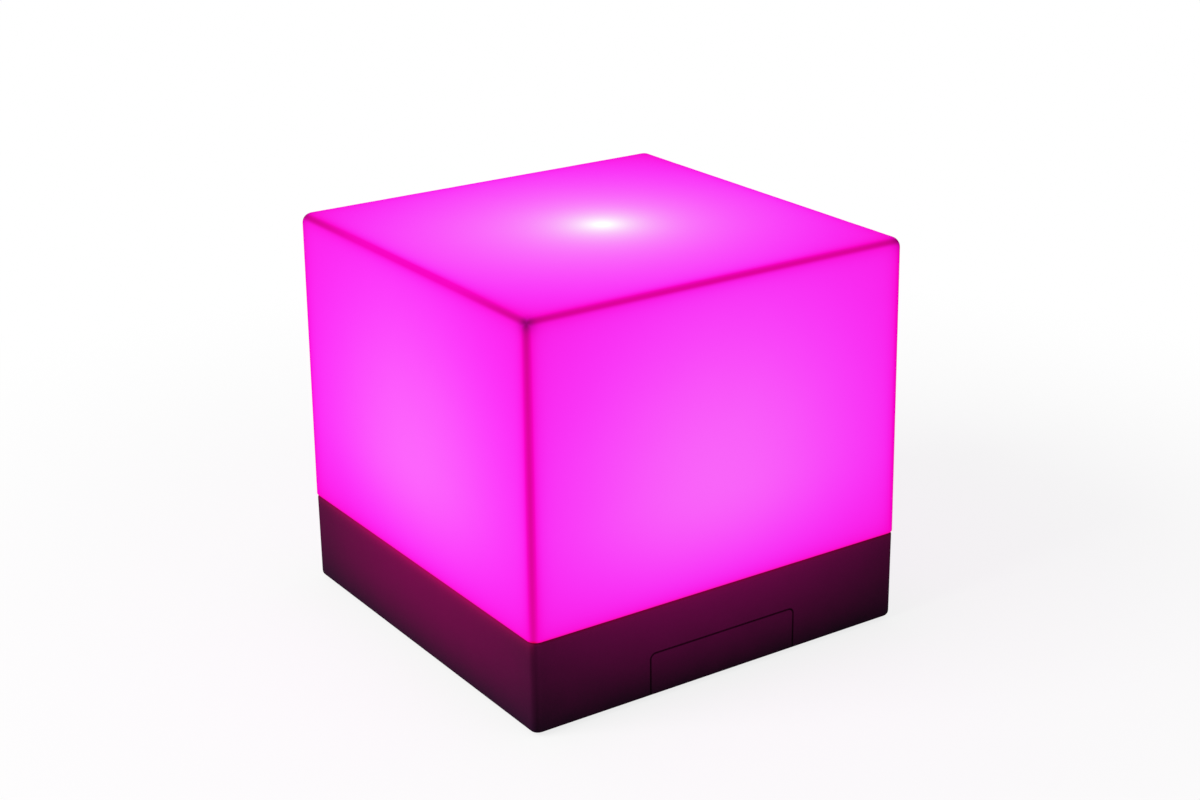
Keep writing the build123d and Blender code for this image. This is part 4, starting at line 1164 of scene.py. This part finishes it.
@dataclass
class BatteryBay:
    """The battery box with its cells, contacts and signs."""

    sign_y: float = -11.6 * MM
    flange: float = 3.4 * MM
    sign_height: float = 0.14 * MM
    pitch: float = 16.0 * MM
    stroke: Pair = (2.2 * MM, 0.5 * MM)
    signs: tuple[Sign, ...] = (Sign.PLUS, Sign.MINUS, Sign.PLUS)
    black: Moulded = Moulded("box_black", (0.022, 0.022, 0.024), 0.5)

    def build(self) -> None:
        """Makes the signs behind the cells."""
        add_piece("battery_signs", self._signs, self.black)

    def _signs(self, shape: Shape) -> None:
        """Adds a sign behind each cell."""
        for i, sign in enumerate(self.signs):
            spot = ((i - 1) * self.pitch, self.sign_y)
            for turn in (0.0, math.pi / 2) if sign is Sign.PLUS else (0.0,):
                stroke = bar(spot, *self.stroke, turn)
                add_slab(shape, stroke, self.flange, -self.sign_height, 0.1 * MM)

    def dress(self) -> None:
        """Finishes the box, the cells and the contacts."""
        dress(self.black, "battery_box")
        low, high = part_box("battery_cells")
        dress(CellJacket(low.y / MM, high.y / MM), "battery_cells")
        nickel = Plated("nickel_contacts", (0.72, 0.70, 0.64), 0.22, (8.0, 1.0, 1.0))
        dress(nickel, "contact_plate_positive", "contact_plate_negative", "contact_springs")
        dress(nickel, "contact_bridge_front", "contact_bridge_rear")


@dataclass
class LampBoard:
    """The round lamp board: packages, dies and clear resin."""

    ring: float = 9.5
    count: int = 6
    window: float = 2.0
    window_floor: float = 34.4
    resin_top: float = 34.78
    die_half: float = 0.30 * MM
    die_pitch: float = 1.1 * MM

    def build(self) -> None:
        """Makes the dies and the resin over them."""
        add_piece("lamp_resin", self._resin, ClearResin())
        glows = {"red": (1.0, 0.05, 0.03), "green": (0.02, 0.09, 0.03), "blue": (0.10, 0.08, 1.0)}
        for i, (name, glow) in enumerate(glows.items()):
            row = partial(self._dies, i)
            add_piece(f"lamp_dies_{name}", row, LitDie(f"die_{name}", glow))

    def _spots(self) -> list[Matrix]:
        """Where each lamp stands, turned to face outward."""
        out = Matrix.Translation((self.ring * MM, 0, 0))
        return [Matrix.Rotation(turn, 4, "Z") @ out for turn in turns(self.count)]

    def _resin(self, shape: Shape) -> None:
        """Fills each cup with resin that is a little hollow on top."""
        radius = (self.window - 0.06) * MM
        low, high = (self.window_floor + 0.18) * MM, self.resin_top * MM
        dip = 0.05 * MM
        profile = [(0.0, low), (radius, low), (radius, high)]
        profile += [(radius * 0.8, high - dip * 0.7), (0.0, high - dip)]
        for place in self._spots():
            add_lathe(shape, profile, place, 28)

    def _dies(self, row: int, shape: Shape) -> None:
        """Adds one small die to each lamp.

        Args:
            row: which of the three.
            shape: what they are added to.
        """
        side = self.die_half
        square = ((-side, -side), (side, -side), (side, side), (-side, side))
        for place in self._spots():
            centre = place @ Vector((0, (row - 1) * self.die_pitch, 0))
            outline = [(centre.x + x, centre.y + y) for x, y in square]
            add_slab(shape, outline, self.window_floor * MM, 0.14 * MM, 0.04 * MM)

    def dress(self) -> None:
        """Finishes the board and the packages."""
        low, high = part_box("led_board")
        colours = (0.80, 0.81, 0.80), (0.72, 0.74, 0.74), (0.52, 0.54, 0.55)
        dress(Board("board_white", *colours, low.z / MM, high.z / MM), "led_board")
        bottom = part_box("led_emitters")[0].z / MM
        dress(LampPackage(self.ring, self.count, self.window, bottom), "led_emitters")


@dataclass
class ControlBoard:
    """The control board, its parts, the two switches and the wires with their joints."""

    top: float = 24.6
    joint: float = 1.25
    wires: int = 4
    wire_pitch: float = 2.6
    lamp_end: float = 17.0
    board_end: float = 23.6

    def build(self) -> None:
        """Makes the solder joints at the wires' ends."""
        tin = Plated("solder_tin", (0.70, 0.70, 0.69), 0.2, EVEN, 0.5)
        add_piece("solder_joints", self._joints, tin)

    def _joints(self, shape: Shape) -> None:
        """Adds a cone of solder round each lamp wire's two ends."""
        lamp_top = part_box("led_board")[1].z / MM
        profile = [(0.0, 0.0), (1.0, 0.0), (0.86, 0.14), (0.70, 0.5), (0.62, 0.9), (0.0, 1.0)]
        scaled = [(r * self.joint * MM, h * self.joint * MM) for r, h in profile]
        for i in range(self.wires):
            x = (i - (self.wires - 1) / 2) * self.wire_pitch
            for y, z in ((self.lamp_end, lamp_top), (self.board_end, self.top)):
                add_lathe(shape, scaled, Matrix.Translation((x * MM, y * MM, z * MM)), 20)

    def dress(self) -> None:
        """Finishes the board, its parts, the switches and the wires."""
        low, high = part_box("control_board")
        colours = (0.010, 0.115, 0.045), (0.016, 0.175, 0.065), (0.36, 0.33, 0.18)
        dress(Board("board_green", *colours, low.z / MM, high.z / MM), "control_board")
        chips = (
            ("controller_chip", "chip_black", (0.016, 0.016, 0.017), 0.47, 1.97, 44.0),
            ("drive_transistors", "transistor_black", (0.018, 0.018, 0.02), 0.3, 0.6, 34.0),
            ("tact_switch_body", "click_case", (0.020, 0.020, 0.021), 0.42, 3.12, 54.0),
        )
        for node, name, colour, *legs in chips:
            dress(ChipBody(name, colour, self.top, *legs), node)
        dress(EndCaps(12.0, 3.0, 1.0, 0.35), "chip_resistors")
        low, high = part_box("smoothing_capacitor")
        centre = ((low.x + high.x) / 2 / MM, (low.y + high.y) / 2 / MM)
        dress(CanSleeve(centre, high.z / MM), "smoothing_capacitor")
        plastics = (
            ("tact_switch_plunger", "click_plunger", (0.030, 0.030, 0.031), 0.38, 0.3),
            ("power_switch_body", "switch_black", (0.020, 0.020, 0.022), 0.42, 0.4),
            ("power_switch_slider", "slider_black", (0.030, 0.030, 0.032), 0.50, 0.35, 0.03),
        )
        for node, *look in plastics:
            dress(Moulded(*look), node)
        red = WireJacket("wire_red", (0.45, 0.012, 0.010))
        dress(red, "battery_lead_positive", "switch_lead")
        dress(WireJacket("wire_black", (0.020, 0.020, 0.021)), "battery_lead_negative")
        dress(WireJacket("wire_white", (0.72, 0.71, 0.69)), "lamp_leads")


# ---- floor, light and camera


@dataclass
class Studio:
    """Pale floor, soft light and the camera at the photograph's angle."""

    eye: Point = (-0.38731, -0.58275, 0.33896)
    azimuth: float = -33.7231
    elevation: float = 20.5892
    roll: float = -0.7594
    lens: float = 63.9406
    sensor: float = 36.0
    floor_radius: float = 6.0
    shadow_radius: Pair = (0.16, 0.42)
    sky: float = 0.52
    paper: Colour = (0.86, 0.86, 0.86)
    paper_white: float = 0.80
    aim: Point = (0.0, 0.0, 0.05)

    def camera(self) -> None:
        """Places the camera."""
        azimuth, elevation, roll = map(math.radians, (self.azimuth, self.elevation, self.roll))
        level, rise = math.cos(elevation), math.sin(elevation)
        back = Vector((math.sin(azimuth) * level, -math.cos(azimuth) * level, rise))
        right = Vector((0, 0, 1)).cross(back).normalized()
        up = back.cross(right)
        turn = Matrix((right, up, back)).transposed() @ Matrix.Rotation(roll, 3, "Z")
        data = bpy.data.cameras.new("camera")
        data.sensor_fit = "HORIZONTAL"
        data.sensor_width = self.sensor
        data.lens = self.lens
        data.clip_start = 0.01
        camera = bpy.data.objects.new("camera", data)
        camera.matrix_world = Matrix.Translation(self.eye) @ turn.to_4x4()
        bpy.context.scene.collection.objects.link(camera)
        bpy.context.scene.camera = camera

    def lamp(self, name: str, spot: Point, size: float, power: float, colour: Colour) -> None:
        """Adds a soft square light that faces the object.

        Args:
            name: the light's name.
            spot: where it stands.
            size: its side.
            power: its power in watts.
            colour: its colour.
        """
        data = bpy.data.lights.new(name, "AREA")
        data.size = size
        data.energy = power
        data.color = colour
        lamp = bpy.data.objects.new(name, data)
        lamp.location = spot
        towards = Vector(self.aim) - Vector(spot)
        lamp.rotation_euler = towards.to_track_quat("-Z", "Y").to_euler()
        bpy.context.scene.collection.objects.link(lamp)

    def seen(self, graph: Graph) -> Field:
        """1 for what the camera, metal and glass see, 0 for plain light.

        Args:
            graph: the graph that asks.

        Returns:
            The share.
        """
        path = graph.node("ShaderNodeLightPath", {}, {})
        rays = [path.outputs[f"Is {kind} Ray"] for kind in ("Camera", "Glossy", "Transmission")]
        return reduce(Field.__add__, (Field(graph, ray) for ray in rays)).least(1.0)

    def backdrop(self) -> None:
        """Lights the world: white where it is seen, and plain elsewhere."""
        world = bpy.data.worlds.new("studio")
        world.use_nodes = True
        bpy.context.scene.world = world
        graph = Graph(world.node_tree)
        strength = self.sky + self.seen(graph) * (1.0 - self.sky)
        sky = graph.node("ShaderNodeBackground", {}, {"Color": WHITE, "Strength": strength})
        graph.finish(sky, "ShaderNodeOutputWorld")

    def floor(self) -> None:
        """Makes a pale floor that keeps the shadow near the object and fades to white."""

        def disc(shape: Shape) -> None:
            """Adds the floor's face."""
            bmesh.ops.create_circle(shape, cap_ends=True, segments=96, radius=self.floor_radius)

        floor = mesh_of("floor", disc)
        material, graph = new_graph("floor_paper")
        near, far = (radius / MM for radius in self.shadow_radius)
        fade = distance(graph.axes[:2]).smooth(near, far)
        matt = graph.node("ShaderNodeBsdfDiffuse", {}, {"Color": self.paper})
        white = graph.node("ShaderNodeEmission", {}, {"Color": WHITE, "Strength": 1.0})
        share = (self.paper_white + fade * (1.0 - self.paper_white)) * self.seen(graph)
        mix = graph.node("ShaderNodeMixShader", {}, {0: share})
        graph.tree.links.new(matt.outputs[0], mix.inputs[1])
        graph.tree.links.new(white.outputs[0], mix.inputs[2])
        graph.finish(mix)
        floor.data.materials.append(material)

    def build(self) -> None:
        """Sets up the whole studio."""
        bpy.context.scene.view_settings.view_transform = "Standard"
        self.backdrop()
        self.floor()
        self.lamp("key", (-1.35, 0.15, 0.95), 0.9, 20.0, (1.0, 0.99, 0.98))
        self.lamp("fill", (0.6, -1.5, 1.1), 1.2, 3.0, (0.98, 0.99, 1.0))
        self.camera()


# ---- the object


def main() -> None:
    """Builds the studio and every sub-assembly in order."""
    logging.basicConfig(level=logging.INFO, format="%(message)s")
    Studio().build()
    for part in (PressShade(), Base(), BatteryBay(), LampBoard(), ControlBoard()):
        part.build()
        part.dress()
        LOG.info("finished %s", type(part).__name__)


if __name__ == "__main__":
    main()
